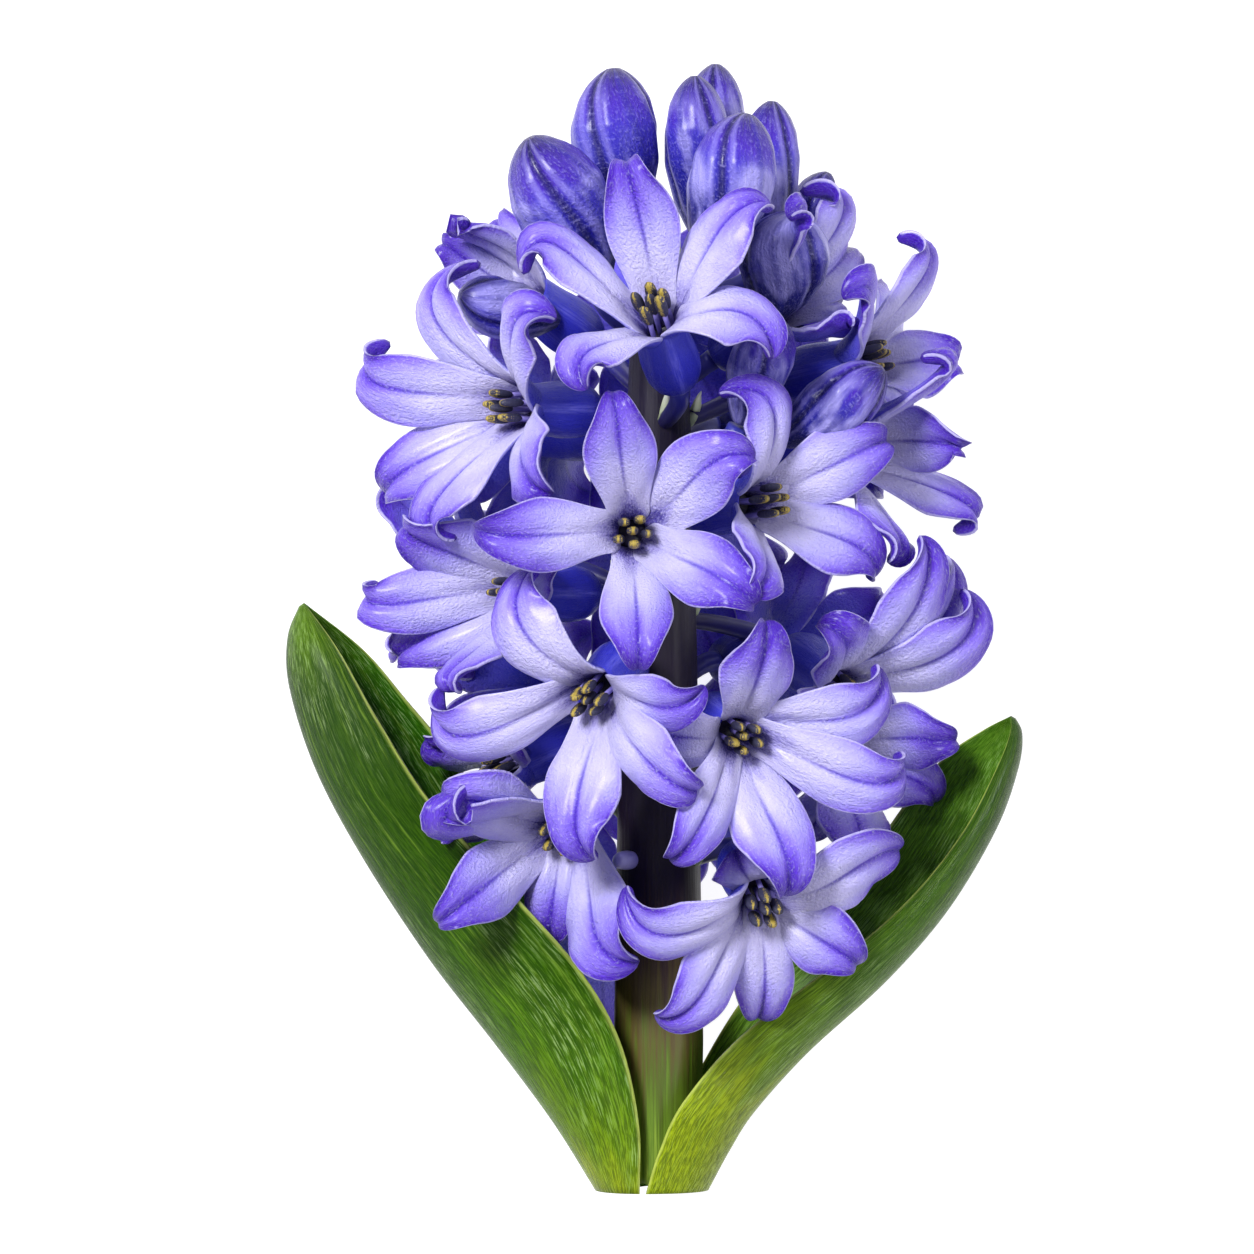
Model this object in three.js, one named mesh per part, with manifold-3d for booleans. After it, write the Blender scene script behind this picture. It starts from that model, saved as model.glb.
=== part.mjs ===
// A cut hyacinth: one fleshy stem with its head of open florets and buds, and two channelled leaves.
// It lies on the petals of its back florets, with +Y up the stem and +Z away from the surface.
// Places are millimetres from the stem's foot: right, up the stem, and towards whoever looks down on it.
import * as THREE from 'three';
import { mergeVertices } from 'three/addons/utils/BufferGeometryUtils.js';
import Module from 'manifold-3d';

const wasm = await Module();
wasm.setup();

// Driving dimensions in millimetres
const AXIS_HEIGHT = 29.8;
const STEM_FOOT = 1.5;
const STEM_SIDES = 10;
const STEM_PROFILE = [
  [STEM_FOOT, 5.5], [20, 5.8], [45, 5.4], [70, 5.0], [95, 4.4], [112, 3.6], [122, 2.2],
];
const STEM_TIP_HEIGHT = 123;
const PEDICEL_RADIUS = 1.05;
const PEDICEL_SIDES = 4;
const PEDICEL_FLARE = 0.35;
const PEDICEL_LEVELS = [0.1, 0.6, 1];
const PEDICEL_LEAVE = 1;
const PEDICEL_RISE = 1.5;
const PEDICEL_BEND = 3.5;
const BRACT_LENGTH = 4.5;
const BRACT_RADIUS = 0.9;
const BRACT_LIFT = 1.2;
const BRACT_LEAN = 0.55;
const BRACT_EVERY = 3;
const ROOT_SINK = 0.6;
const SEAT_GAP = 0.3;
const TUBE_LENGTH = 14;
const TUBE_SIDES = 6;
const TUBE_FOOT_LEVEL = 1.2;
const OVARY_LEVEL = 5;
const WAIST_BACK = 4;
const OVARY_RADIUS = 3.9;
const WAIST_RADIUS = 3.6;
const TUBE_FOOT_RADIUS = 2.8;
const THROAT_RADIUS = 2.8;
const CUP_FLOOR_RADIUS = 2.6;
const RIM_RADIUS = 3.7;
const RIM_BACK = 0.8;
const CUP_DEPTH = 5;
const PLUG_RISE = 1;
const PETAL_THICKNESS = 1.5;
const PETAL_INNER_SHARE = 0.35;
const PETAL_ROOT_BACK = 1.6;
const PETAL_ROOT_WIDTH = 0.5;
const PETAL_WIDEST_AT = 0.5;
const PETAL_HANDLE = 0.4;
const PETAL_TAPER = 1.7;
const FULL_HOOK = 0.5;
const PETAL_STATIONS = [0, 0.26, 0.52, 0.8];
const ANTHER_COUNT = 5;
const ANTHER_SPREAD = 2.1;
const ANTHER_NOTCH = 1.1;
const ANTHER_FOOT_SHARE = 0.8;
const ANTHER_TOP_SHARE = 0.6;
const ANTHER_TOP = 1.6;
const ANTHER_SHOULDER = 0.6;
const NOTCH_TOP = -1.2;
const NOTCH_SHOULDER = -1.5;
const PISTIL_TOP = 0.2;
const LEAF_THICKNESS = 1.3;
const LEAF_THINNING = 0.3;
const NEIGHBOUR_GAP = 0.3;

const COLOURS = {
  stem: 0x4c5a33, leaf: 0x3f7a16, petal: 0x9d94e0, anther: 0x2b2433, bud: 0x4a3fbf,
};

// Open florets: where the throat is, which way it faces, and how high its stalk leaves the stem.
// Each petal: its tip measured from the throat (x, y, z), its width, how far the tip hooks back
// as a share of its length, the angle from the floret's axis at which it leaves the rim, and how
// far it bows to its left, seen from outside, as a share of its length. A half-open floret has
// a heart of petals still wrapped like a bud.
const FLORETS = {
  upper_front: {
    throat: [-0.5, 113.4, 23], faces: [-0.22, 0.65, 0.73], seat: 99,
    petals: [
      [-3.4, 18.7, -1, 9.6, 0.3, 40, 0], [14.8, 12.7, 0, 10.5, 0.35, 40, 0.12],
      [14.5, -6.3, 5, 9.5, 0.35, 40, 0.45],
      [-8.4, -10.1, 7, 9, 0.35, 40, -0.5], [-16.5, 4.6, 1, 8.5, 0.45, 30, -0.5],
    ],
  },
  centre: {
    throat: [-3.4, 85.5, 22], faces: [0.03, 0, 1], seat: 82,
    petals: [
      [-2.4, 17.5, 5, 9.4, 0.3, 45, 0], [15.5, 9, 5, 10.4, 0.3, 45, 0.3],
      [15.3, -9.5, 5, 9.6, 0.3, 45, 0.1],
      [0.8, -17.3, 5, 9.4, 0.3, 45, 0], [-19.8, 0.5, 3, 9.6, 0.3, 45, 0.1],
    ],
  },
  lower_left_front: {
    throat: [-8.5, 64.6, 20], faces: [-0.35, -0.35, 0.87], seat: 65,
    petals: [
      [-6.6, 16.4, -2, 10, 0.6, 15, 0.5], [-19.3, 1.1, -5, 8.8, 0.55, 20, 0.55],
      [0.8, -20.4, 1, 11, 0.25, 40, -0.2],
      [13.2, -11.6, 6, 8.8, 0.6, 15, 0.2], [14.1, 1.6, 9, 8, 0.3, 40, -0.25],
    ],
  },
  lower_right_front: {
    throat: [10.6, 59.5, 21], faces: [0.3, -0.2, 0.93], seat: 57,
    petals: [
      [2.7, 14.7, 5, 10, 0.35, 35, 0], [16.9, 9.2, -4, 9, 0.35, 40, -0.45],
      [19.9, -2, -5, 9, 0.5, 20, -0.4],
      [4.8, -20, 1, 10.6, 0.3, 40, 0.15], [-9.4, -15, 4, 8, 0.45, 30, 0], [-13, -0.4, -2, 9.6, 0.3, 45, -0.1],
    ],
  },
  bottom_right: {
    throat: [13.2, 38, 17], faces: [0.2, -0.45, 0.87], seat: 42,
    petals: [
      [-17.1, 2.7, 5, 8, 0.65, 10, 0.5], [-13.7, -13.6, 1, 9, 0.35, 35, 0.2],
      [-0.5, -14.7, -9, 8, 0.3, 40, 0],
      [12, -7.8, -3, 9.6, 0.25, 40, 0.2], [17.6, 6.8, -6, 10.4, 0.3, 40, 0.3],
      [-3.5, 7.1, 2, 8, 0.3, 40, 0],
    ],
  },
  bottom_left: {
    throat: [-12.8, 46.8, 8.5], faces: [-0.3, -0.4, 0.87], seat: 48,
    petals: [
      [-14.6, 2.2, 5, 9.5, 0.4, 30, -0.75], [-11.4, 6.5, 9.5, 9.5, 0.45, 30, 0.75],
      [-15.3, -11.2, 6, 9.6, 0.2, 45, -0.1], [10.4, -15.9, 7, 12, 0.2, 45, -0.25],
      [-1, -13.5, -5, 8, 0.3, 40, 0],
    ],
  },
  left_low: {
    throat: [-20.3, 54.7, 0.5], faces: [-0.8, -0.35, 0.49], seat: 53,
    petals: [
      [-5.4, -7.2, 8, 9.6, 0.5, 25, 0.2], [-9.6, 4.4, -2, 10, 0.2, 40, 0],
      [5.5, -8.5, 2, 9.4, 0.4, 40, 0], [2.7, 6.6, 8, 8, 0.4, 35, 0],
      [-1.5, 7.2, -12, 7, 0.3, 45, 0],
    ],
  },
  left_top: {
    throat: [-19, 101.5, 13], faces: [-0.78, 0, 0.62], seat: 95,
    petals: [
      [-15.6, 8.8, -8, 9.6, 0.55, 15, 0.5], [-3.8, 18.7, -4, 8.6, 0.6, 15, 0.65],
      [6, 10.7, 10, 9.6, 0.5, 25, 0.5],
      [5.6, -11, 10, 11, 0.4, 35, 0], [-6.7, -16.6, 0.8, 10, 0.5, 25, -0.4], [-15.5, -11, -9, 10.5, 0.3, 40, 0],
    ],
  },
  left_middle: {
    throat: [-18.8, 77.8, 11], faces: [-0.75, 0, 0.66], seat: 73,
    petals: [
      [-13, 8.9, 0, 11, 0.35, 30, 0], [-17.1, 1.4, -5, 8.6, 0.5, 15, 0.4],
      [-14.3, -8.4, -8, 9, 0.3, 40, 0], [-6.3, -12.1, 6, 8.8, 0.5, 25, 0],
      [6.2, 3.8, 7, 8, 0.3, 45, 0],
    ],
  },
  left_back: {
    throat: [-25, 81, -8.5], faces: [-0.93, 0, -0.37], seat: 77,
    petals: [
      [-9.6, 11.5, 6, 10.5, 0.3, 30, 0], [-9, -11, 3, 8, 0.35, 40, -0.2], [2, 13.5, -4, 8.6, 0.4, 40, 0],
      [1, -14, -5, 8.6, 0.4, 40, 0], [5, 6, -13, 8.6, 0.4, 40, 0], [5, -6, -13, 8.6, 0.4, 40, 0],
    ],
  },
  right_middle: {
    throat: [13.6, 89.4, 16], faces: [0.7, 0.05, 0.71], seat: 84,
    petals: [
      [-6, 13.6, 3, 8.6, 0.7, 10, -0.55], [15.5, 7.8, -6, 9.8, 0.25, 40, 0.15],
      [13.4, -9.9, -6, 10, 0.3, 35, 0.25], [-2.4, -11.4, 11, 10.6, 0.4, 35, 0],
      [7, 1, -14, 8, 0.3, 45, 0],
    ],
  },
  right: {
    throat: [24.2, 65, 1.6], faces: [0.5, -0.4, 0.77], seat: 74,
    petals: [
      [9.4, 20.2, 4.4, 10.6, 0.35, 30, -0.15], [13, 17.7, -3.6, 8.4, 0.4, 25, -0.2],
      [15, 13.3, -0.6, 10.4, 0.45, 15, -0.4], [-4, 8.6, 12.4, 10, 0.5, 15, -0.3],
      [-8.2, -4.5, 5, 8, 0.35, 40, 0],
    ],
  },
  right_top: {
    throat: [27.7, 108.3, 4], faces: [0.85, 0.2, 0.48], seat: 99,
    petals: [
      [3.2, 15.6, -2, 8, 0.5, 15, -0.55], [-4.1, 6.9, 12, 9, 0.5, 20, -0.4],
      [10.2, -1.5, -6, 9.6, 0.4, 30, 0.2], [4.5, -7, -8, 7, 0.3, 45, 0],
      [1, 9.4, -15, 8, 0.3, 45, 0],
    ],
  },
  right_upper: {
    throat: [26.4, 96.4, 3], faces: [0.9, -0.1, 0.42], seat: 92,
    petals: [
      [7.2, 11.5, 8, 7, 0.6, 15, -0.45], [12.1, -0.3, 2, 9, 0.3, 40, 0.2],
      [12, -10.4, -6, 7, 0.5, 20, 0.35],
      [3, -14.5, 5, 10, 0.35, 40, 0], [3, 5, -11, 7.4, 0.3, 45, 0],
    ],
  },
  right_low: {
    throat: [24.3, 57.6, -1], faces: [0.62, -0.15, 0.77], seat: 54,
    petals: [
      [14.3, 1.1, 2, 9.2, 0.2, 40, 0.1], [11.6, -7.1, -3, 8.8, 0.2, 40, 0.2],
      [1.2, -15.4, 2, 11.6, 0.3, 40, 0], [-3.5, 5, 13, 8, 0.3, 45, 0],
      [-6, -11.5, -3, 9, 0.3, 45, 0],
    ],
  },
  left_crown: {
    throat: [-18, 117.4, -3], faces: [-0.7, 0.5, 0.5], seat: 103, closed: true,
    heart: { foot: [-13, 113.4, -3.5], tip: [-25.6, 116.4, 5.5], width: 8 },
    petals: [
      [-6.3, 8.5, 4, 7.4, 0.35, 30, 0.3], [-9.8, 5.9, -3, 7.4, 0.3, 30, 0],
      [-2, 9.7, -9, 8, 0.3, 40, 0], [-5.2, -4.2, -12, 8, 0.3, 40, 0],
    ],
  },
  right_crown: {
    throat: [18.3, 114.9, 8], faces: [0.75, 0.45, 0.4], seat: 104, closed: true,
    heart: { foot: [14.6, 113, 7], tip: [17.8, 126.8, 10.5], width: 11.5 },
    petals: [
      [0.1, 14.8, -3, 9, 0.6, 15, -0.85], [-1.7, 10.6, 8, 8.5, 0.35, 35, -0.5],
      [5.6, 8, -14, 8, 0.3, 40, 0], [6.3, -3, 4, 7, 0.3, 30, 0],
      [5, 0, -11, 7, 0.3, 40, 0],
    ],
  },
};

// Back florets, placed by rule: height of the throat up the stem, degrees round it from the front,
// turn of its petals, and how far the throat stands out from the stem's axis.
const BACK_FLORETS = [
  [100, 138, 30, 25.2], [69, 137, 30, 25.3],
  [114, 176, 0, 22.5], [82, 178, 0, 22.5], [52, 168, 47, 22.6],
  [99, -138, 30, 24.6], [65, -138, 30, 24.6], [34, -160, 20, 22.9],
];
const BACK_PETALS = 6;
const BACK_PETAL_REACH = 16;
const BACK_PETAL_RISE = 2.5;
const BACK_PETAL_FORM = [10, 0.4, 40, 0];
const BACK_SEAT_DROP = 4;

// Closed buds: foot, tip and greatest width.
const BUDS = [
  { foot: [-7.5, 116.3, 7], tip: [-16.5, 136.2, 13], width: 12.3 },
  { foot: [-4.4, 123.6, 2], tip: [-5.8, 145.9, 3], width: 11.4 },
  { foot: [5.2, 124, 2], tip: [4.8, 144.9, 3], width: 8.6 },
  { foot: [7.1, 124.7, -7], tip: [7.6, 147.3, -8], width: 9 },
  { foot: [6, 120.2, 14], tip: [11.5, 139.1, 15], width: 11 },
  { foot: [13.3, 121, -2], tip: [14.9, 142, -2], width: 8.5 },
  { foot: [16.5, 121, -7], tip: [22.4, 133, -7], width: 6 },
  { foot: [10.3, 99.4, 11], tip: [15.7, 112.8, 15], width: 8 },
  { foot: [15, 97.2, 10], tip: [28.9, 106.4, 14], width: 8.6 },
];
const BUD_PROFILE = [[0.04, 0.3], [0.2, 0.66], [0.45, 0.98], [0.66, 1], [0.84, 0.78], [0.96, 0.36]];
const BUD_SIDES = 9;
const BUD_SEAT_DROP = 6;
const HIGHEST_SEAT = 120;
const BUD_LOBE_DEPTH = 0.08;
const STUNTED_BUD = {
  centre: [-4.6, 43.3, 5.4], radius: 1.25, sides: 6, levels: [-0.8, -0.2, 0.5], stalk: 2.5,
};

// Leaves: at each station the keel, the near margin and the far margin of the channel.
const LEAVES = {
  leaf_left: {
    stations: [
      [[-7.5, 0.3, -0.5], [-2.4, 0.3, 6.7], [-1.2, 0.3, -6.7]],
      [[-12.8, 8.7, -0.5], [-2.5, 9.4, 7.3], [-3.5, 9, -7.4]],
      [[-20.2, 18.7, 0], [-4.9, 20, 8], [-6, 17, -8]],
      [[-29.4, 30.5, 0], [-10.2, 29.5, 8.5], [-12, 29, -8]],
      [[-37.8, 43.5, 0], [-19.5, 40, 8.5], [-19, 44, -7.5]],
      [[-43.9, 55, 0], [-29.4, 51, 8], [-27, 56.5, -7]],
      [[-47.4, 65.5, 0], [-36.2, 61.5, 6.5], [-33, 64, -6]],
      [[-47.7, 72, 0], [-41.4, 70.5, 4], [-38.5, 70.5, -4.5]],
    ],
    tip: [-46, 76.6, 0],
  },
  leaf_right: {
    stations: [
      [[5.9, 0.3, -0.5], [-1.6, 0.3, 6.8], [0.4, 0.3, -6.8]],
      [[8.7, 5.5, -0.4], [0, 5.5, 7.2], [2, 6.5, -7.2]],
      [[12, 10.7, -0.3], [3.2, 12.2, 7.8], [4.5, 13.5, -7.6]],
      [[19, 18.5, 0], [11, 21, 7.8], [11, 24.5, -7.5]],
      [[29.1, 27.6, 0], [24.3, 31.2, 7], [19.5, 34, -7]],
      [[37.1, 36.7, 0], [33, 39, 6.5], [26.5, 42, -7]],
      [[43.4, 47.1, 0], [39.5, 47.2, 5.5], [32.5, 50.5, -6.5]],
      [[46.3, 54.9, 0], [43.7, 55, 4], [37.5, 56.5, -5]],
      [[46.9, 59.5, 0], [45.6, 59.5, 2], [42.4, 60, -2.5]],
    ],
    tip: [45.9, 61.9, 0],
  },
};
const LEAF_ACROSS = 6;

const vec = (place) => new THREE.Vector3(...place);
const smooth = (low, high, value) => THREE.MathUtils.smoothstep(value, low, high);

// A closed skin over rings of points; a null pole leaves that end to a flat fan.
function loft(rings, startPole, endPole) {
  const points = rings.flat();
  const sides = rings[0].length;
  const faces = [];
  const pole = (place, ring) => points.push(place ?? centreOf(ring)) - 1;
  for (let row = 0; row < rings.length - 1; row += 1) {
    for (let side = 0; side < sides; side += 1) {
      const a = row * sides + side;
      const b = row * sides + (side + 1) % sides;
      faces.push(a, b, b + sides, a, b + sides, a + sides);
    }
  }
  const first = pole(startPole, rings[0]);
  const last = pole(endPole, rings[rings.length - 1]);
  const lastRow = (rings.length - 1) * sides;
  for (let side = 0; side < sides; side += 1) {
    const next = (side + 1) % sides;
    faces.push(first, next, side, last, lastRow + side, lastRow + next);
  }
  const geometry = new THREE.BufferGeometry();
  const places = points.flatMap((p) => p.toArray());
  geometry.setAttribute('position', new THREE.Float32BufferAttribute(places, 3));
  geometry.setIndex(faces);
  if (volumeOf(geometry) < 0) {
    geometry.setIndex(faces.map((_, i) => faces[i - (i % 3) + [0, 2, 1][i % 3]]));
  }
  return geometry;
}

function centreOf(ring) {
  return ring.reduce((sum, p) => sum.add(p), new THREE.Vector3()).divideScalar(ring.length);
}

function volumeOf(geometry) {
  const position = geometry.attributes.position;
  const corner = (i) => new THREE.Vector3().fromBufferAttribute(position, geometry.index.getX(i));
  let volume = 0;
  for (let i = 0; i < geometry.index.count; i += 3) {
    volume += corner(i).dot(corner(i + 1).cross(corner(i + 2))) / 6;
  }
  return volume;
}

function solidOf(geometry) {
  const bare = geometry.clone();
  bare.deleteAttribute('normal');
  bare.deleteAttribute('uv');
  const merged = mergeVertices(bare, 1e-4);
  return new wasm.Manifold(new wasm.Mesh({
    numProp: 3,
    vertProperties: merged.attributes.position.array,
    triVerts: merged.index.array,
  }));
}

function geometryOf(solid) {
  const mesh = solid.getMesh();
  const geometry = new THREE.BufferGeometry();
  geometry.setAttribute('position', new THREE.BufferAttribute(mesh.vertProperties, 3));
  geometry.setIndex(new THREE.BufferAttribute(mesh.triVerts, 1));
  geometry.computeVertexNormals();
  return geometry;
}

const joined = (solids) => solids.reduce((sum, solid) => sum.add(solid));

// Two directions square to a floret's or a bud's own axis.
function sidesOf(axis) {
  const up = Math.abs(axis.y) < 0.9 ? new THREE.Vector3(0, 1, 0) : new THREE.Vector3(0, 0, -1);
  const right = new THREE.Vector3().crossVectors(up, axis).normalize();
  return [right, new THREE.Vector3().crossVectors(axis, right)];
}

function ringAbout(centre, axis, radiusAt, sides, turn = 0) {
  const [right, up] = sidesOf(axis);
  return Array.from({ length: sides }, (_, i) => {
    const angle = 2 * Math.PI * i / sides + turn;
    return centre.clone()
      .addScaledVector(right, radiusAt(angle) * Math.cos(angle))
      .addScaledVector(up, radiusAt(angle) * Math.sin(angle));
  });
}

// The middle line of a petal rises from the rim, leans out and hooks back at its tip.
function petalPath(floret, [x, y, z, , hookShare, leanAngle, bow]) {
  const axis = vec(floret.faces).normalize();
  const reach = new THREE.Vector3(x, y, z);
  const outward = reach.clone().addScaledVector(axis, -reach.dot(axis)).normalize();
  const side = new THREE.Vector3().crossVectors(axis, outward);
  const root = vec(floret.throat)
    .addScaledVector(outward, (THROAT_RADIUS + RIM_RADIUS) / 2)
    .addScaledVector(axis, -PETAL_ROOT_BACK);
  const end = vec(floret.throat).add(reach);
  const length = root.distanceTo(end);
  const lean = THREE.MathUtils.degToRad(leanAngle);
  const rise = root.clone()
    .addScaledVector(axis, Math.cos(lean) * length * PETAL_HANDLE)
    .addScaledVector(outward, Math.sin(lean) * length * PETAL_HANDLE);
  const hook = end.clone()
    .addScaledVector(axis, length * hookShare)
    .addScaledVector(outward, -length * Math.max(0, FULL_HOOK - hookShare))
    .addScaledVector(side, length * bow);
  return { path: new THREE.CubicBezierCurve3(root, rise, hook, end), side };
}

// Share of a petal's full width, from its root at 0 to its tip at 1.
function petalWidth(s) {
  const flare = PETAL_ROOT_WIDTH + (1 - PETAL_ROOT_WIDTH) * smooth(0, PETAL_WIDEST_AT, s);
  const beyond = Math.max(0, s - PETAL_WIDEST_AT) / (1 - PETAL_WIDEST_AT);
  return flare * (1 - Math.pow(beyond, PETAL_TAPER));
}

function petalSolid(floret, petal, grow) {
  const { path, side } = petalPath(floret, petal);
  const rings = PETAL_STATIONS.map((s) => {
    const middle = path.getPointAt(s);
    const tangent = path.getTangentAt(s);
    const normal = new THREE.Vector3().crossVectors(tangent, side).normalize();
    const across = new THREE.Vector3().crossVectors(normal, tangent);
    const half = petal[3] / 2 * petalWidth(s) + grow;
    return [
      middle.clone().addScaledVector(across, half),
      middle.clone().addScaledVector(normal, PETAL_THICKNESS * PETAL_INNER_SHARE + grow),
      middle.clone().addScaledVector(across, -half),
      middle.clone().addScaledVector(normal, -PETAL_THICKNESS * (1 - PETAL_INNER_SHARE) - grow),
    ];
  });
  const start = path.getPoint(0).addScaledVector(path.getTangent(0), -grow);
  const end = path.getPoint(1).addScaledVector(path.getTangent(1), grow);
  return solidOf(loft(rings, start, end));
}

// The tube swells round the ovary, narrows, and opens in a cup at the throat.
function tubeSolid(floret, grow) {
  const axis = vec(floret.faces).normalize();
  const along = (back) => vec(floret.throat).addScaledVector(axis, -back);
  const ring = (back, radius) => ringAbout(along(back), axis, () => radius, TUBE_SIDES);
  const outside = [
    ring(TUBE_LENGTH - TUBE_FOOT_LEVEL, TUBE_FOOT_RADIUS + grow),
    ring(TUBE_LENGTH - OVARY_LEVEL, OVARY_RADIUS + grow),
    ring(WAIST_BACK, WAIST_RADIUS + grow),
    ring(RIM_BACK, RIM_RADIUS + grow),
  ];
  const foot = along(TUBE_LENGTH + grow);
  if (grow > 0 || floret.closed) {
    return solidOf(loft(outside, foot, along(-PLUG_RISE)));
  }
  const cup = [ring(RIM_BACK, THROAT_RADIUS), ring(CUP_DEPTH, CUP_FLOOR_RADIUS)];
  return solidOf(loft([...outside, ...cup], foot, along(CUP_DEPTH)));
}

function floretSolid(floret, grow = 0) {
  const petals = floret.petals.map((petal) => petalSolid(floret, petal, grow));
  const heart = floret.heart ? [budSolid(floret.heart, grow)] : [];
  return joined([tubeSolid(floret, grow), ...heart, ...petals]);
}

// Five anthers stand round a pistil, grown together below like a small crown.
function stamensSolid(floret) {
  const axis = vec(floret.faces).normalize();
  const [right, up] = sidesOf(axis);
  const point = (i, reach, lift) => {
    const angle = Math.PI * i / ANTHER_COUNT;
    return vec(floret.throat)
      .addScaledVector(right, reach * Math.cos(angle))
      .addScaledVector(up, reach * Math.sin(angle))
      .addScaledVector(axis, lift);
  };
  // Even points are anthers and odd ones the notches between them.
  const star = (share, antherLift, notchLift) => Array.from({ length: 2 * ANTHER_COUNT }, (_, i) => (
    i % 2 === 0
      ? point(i, ANTHER_SPREAD * share, antherLift)
      : point(i, ANTHER_NOTCH * Math.sqrt(share), notchLift)));
  const foot = SEAT_GAP - CUP_DEPTH;
  const rings = [
    star(ANTHER_FOOT_SHARE, foot, foot),
    star(1, ANTHER_SHOULDER, NOTCH_SHOULDER),
    star(ANTHER_TOP_SHARE, ANTHER_TOP, NOTCH_TOP),
  ];
  return solidOf(loft(rings, null, point(0, 0, PISTIL_TOP)));
}

function budSolid(bud, grow = 0) {
  const foot = vec(bud.foot);
  const tip = vec(bud.tip);
  const axis = tip.clone().sub(foot).normalize();
  const rings = BUD_PROFILE.map(([s, girth]) => {
    const lobe = BUD_LOBE_DEPTH * smooth(0.2, 0.6, s);
    const radiusAt = (angle) => bud.width / 2 * girth * (1 - lobe + lobe * Math.cos(3 * angle)) + grow;
    return ringAbout(foot.clone().lerp(tip, s), axis, radiusAt, BUD_SIDES);
  });
  return solidOf(loft(rings, foot, tip));
}

// A stunted bud, no bigger than a bead, on its own short stalk.
function stuntedBudSolid() {
  const { centre, radius, sides, levels, stalk } = STUNTED_BUD;
  const outward = vec(centre).setY(0).normalize();
  const along = (lift) => vec(centre).addScaledVector(outward, radius * lift);
  const rings = levels.map((lift) =>
    ringAbout(along(lift), outward, () => radius * Math.sqrt(1 - lift * lift), sides));
  return solidOf(loft(rings, along(-stalk), along(1)));
}

function stemRadius(height) {
  const after = STEM_PROFILE.findIndex(([level]) => level >= height);
  if (after <= 0) {
    return STEM_PROFILE[after === 0 ? 0 : STEM_PROFILE.length - 1][1];
  }
  const [low, thick] = STEM_PROFILE[after - 1];
  const [high, thin] = STEM_PROFILE[after];
  return THREE.MathUtils.mapLinear(height, low, high, thick, thin);
}

// A stalk runs from inside the stem out to just short of what it carries.
function pedicelSolid({ end, direction, seat }) {
  const start = new THREE.Vector3(0, seat, 0);
  const level = end.clone().setY(0).normalize();
  const leave = start.clone()
    .addScaledVector(level, stemRadius(seat) + PEDICEL_LEAVE)
    .setY(seat + PEDICEL_RISE);
  const arrive = end.clone().addScaledVector(direction, -PEDICEL_BEND);
  const path = new THREE.CubicBezierCurve3(start, leave, arrive, end);
  const rings = PEDICEL_LEVELS.map((s) => {
    const radius = PEDICEL_RADIUS * (1 + PEDICEL_FLARE * s);
    return ringAbout(path.getPoint(s), path.getTangent(s), () => radius, PEDICEL_SIDES);
  });
  return solidOf(loft(rings, null, null));
}

function bractSolid({ end, seat }) {
  const height = seat + BRACT_LIFT;
  const level = end.clone().setY(0).normalize();
  const root = level.clone().multiplyScalar(stemRadius(height) - ROOT_SINK).setY(height);
  const direction = level.clone().multiplyScalar(BRACT_LEAN).setY(1).normalize();
  const tip = root.clone().addScaledVector(direction, BRACT_LENGTH);
  return solidOf(loft([ringAbout(root, direction, () => BRACT_RADIUS, 4)], null, tip));
}

function stemSolid(carried) {
  const axis = new THREE.Vector3(0, 1, 0);
  const rings = STEM_PROFILE.map(([height, radius]) =>
    ringAbout(new THREE.Vector3(0, height, 0), axis, () => radius, STEM_SIDES));
  const shaft = solidOf(loft(rings, null, new THREE.Vector3(0, STEM_TIP_HEIGHT, 0)));
  const bracts = carried.filter((_, i) => i % BRACT_EVERY === 0).map(bractSolid);
  return joined([shaft, stuntedBudSolid(), ...carried.map(pedicelSolid), ...bracts]);
}

// The channel runs as a quarter ellipse from the keel to each margin.
function leafSolid({ stations, tip }, grow = 0) {
  const line = (which) => new THREE.CatmullRomCurve3([...stations.map((s) => vec(s[which])), vec(tip)]);
  const [keel, near, far] = [line(0), line(1), line(2)];
  const rows = stations.length + 2;
  const rings = [];
  for (let row = 0; row < rows; row += 1) {
    const t = row / rows;
    const back = keel.getPoint(t);
    const opening = near.getPoint(t).add(far.getPoint(t)).multiplyScalar(0.5).sub(back).normalize();
    const across = [];
    for (let i = -LEAF_ACROSS / 2; i <= LEAF_ACROSS / 2; i += 1) {
      const span = (i < 0 ? near : far).getPoint(t).sub(back);
      const depth = span.dot(opening);
      const reach = span.clone().addScaledVector(opening, -depth);
      const angle = Math.abs(i) / (LEAF_ACROSS / 2) * Math.PI / 2;
      const onBlade = back.clone()
        .addScaledVector(opening, depth * (1 - Math.cos(angle)))
        .addScaledVector(reach, Math.sin(angle));
      const normal = opening.clone().multiplyScalar(Math.cos(angle))
        .addScaledVector(reach.normalize(), -Math.sin(angle)).normalize();
      across.push([onBlade, normal]);
    }
    const half = LEAF_THICKNESS / 2 * (1 - LEAF_THINNING * t) + grow;
    rings.push([
      ...across.map(([p, n]) => p.clone().addScaledVector(n, -half)),
      ...across.reverse().map(([p, n]) => p.clone().addScaledVector(n, half)),
    ]);
  }
  return solidOf(loft(rings, null, vec(tip)));
}

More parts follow.
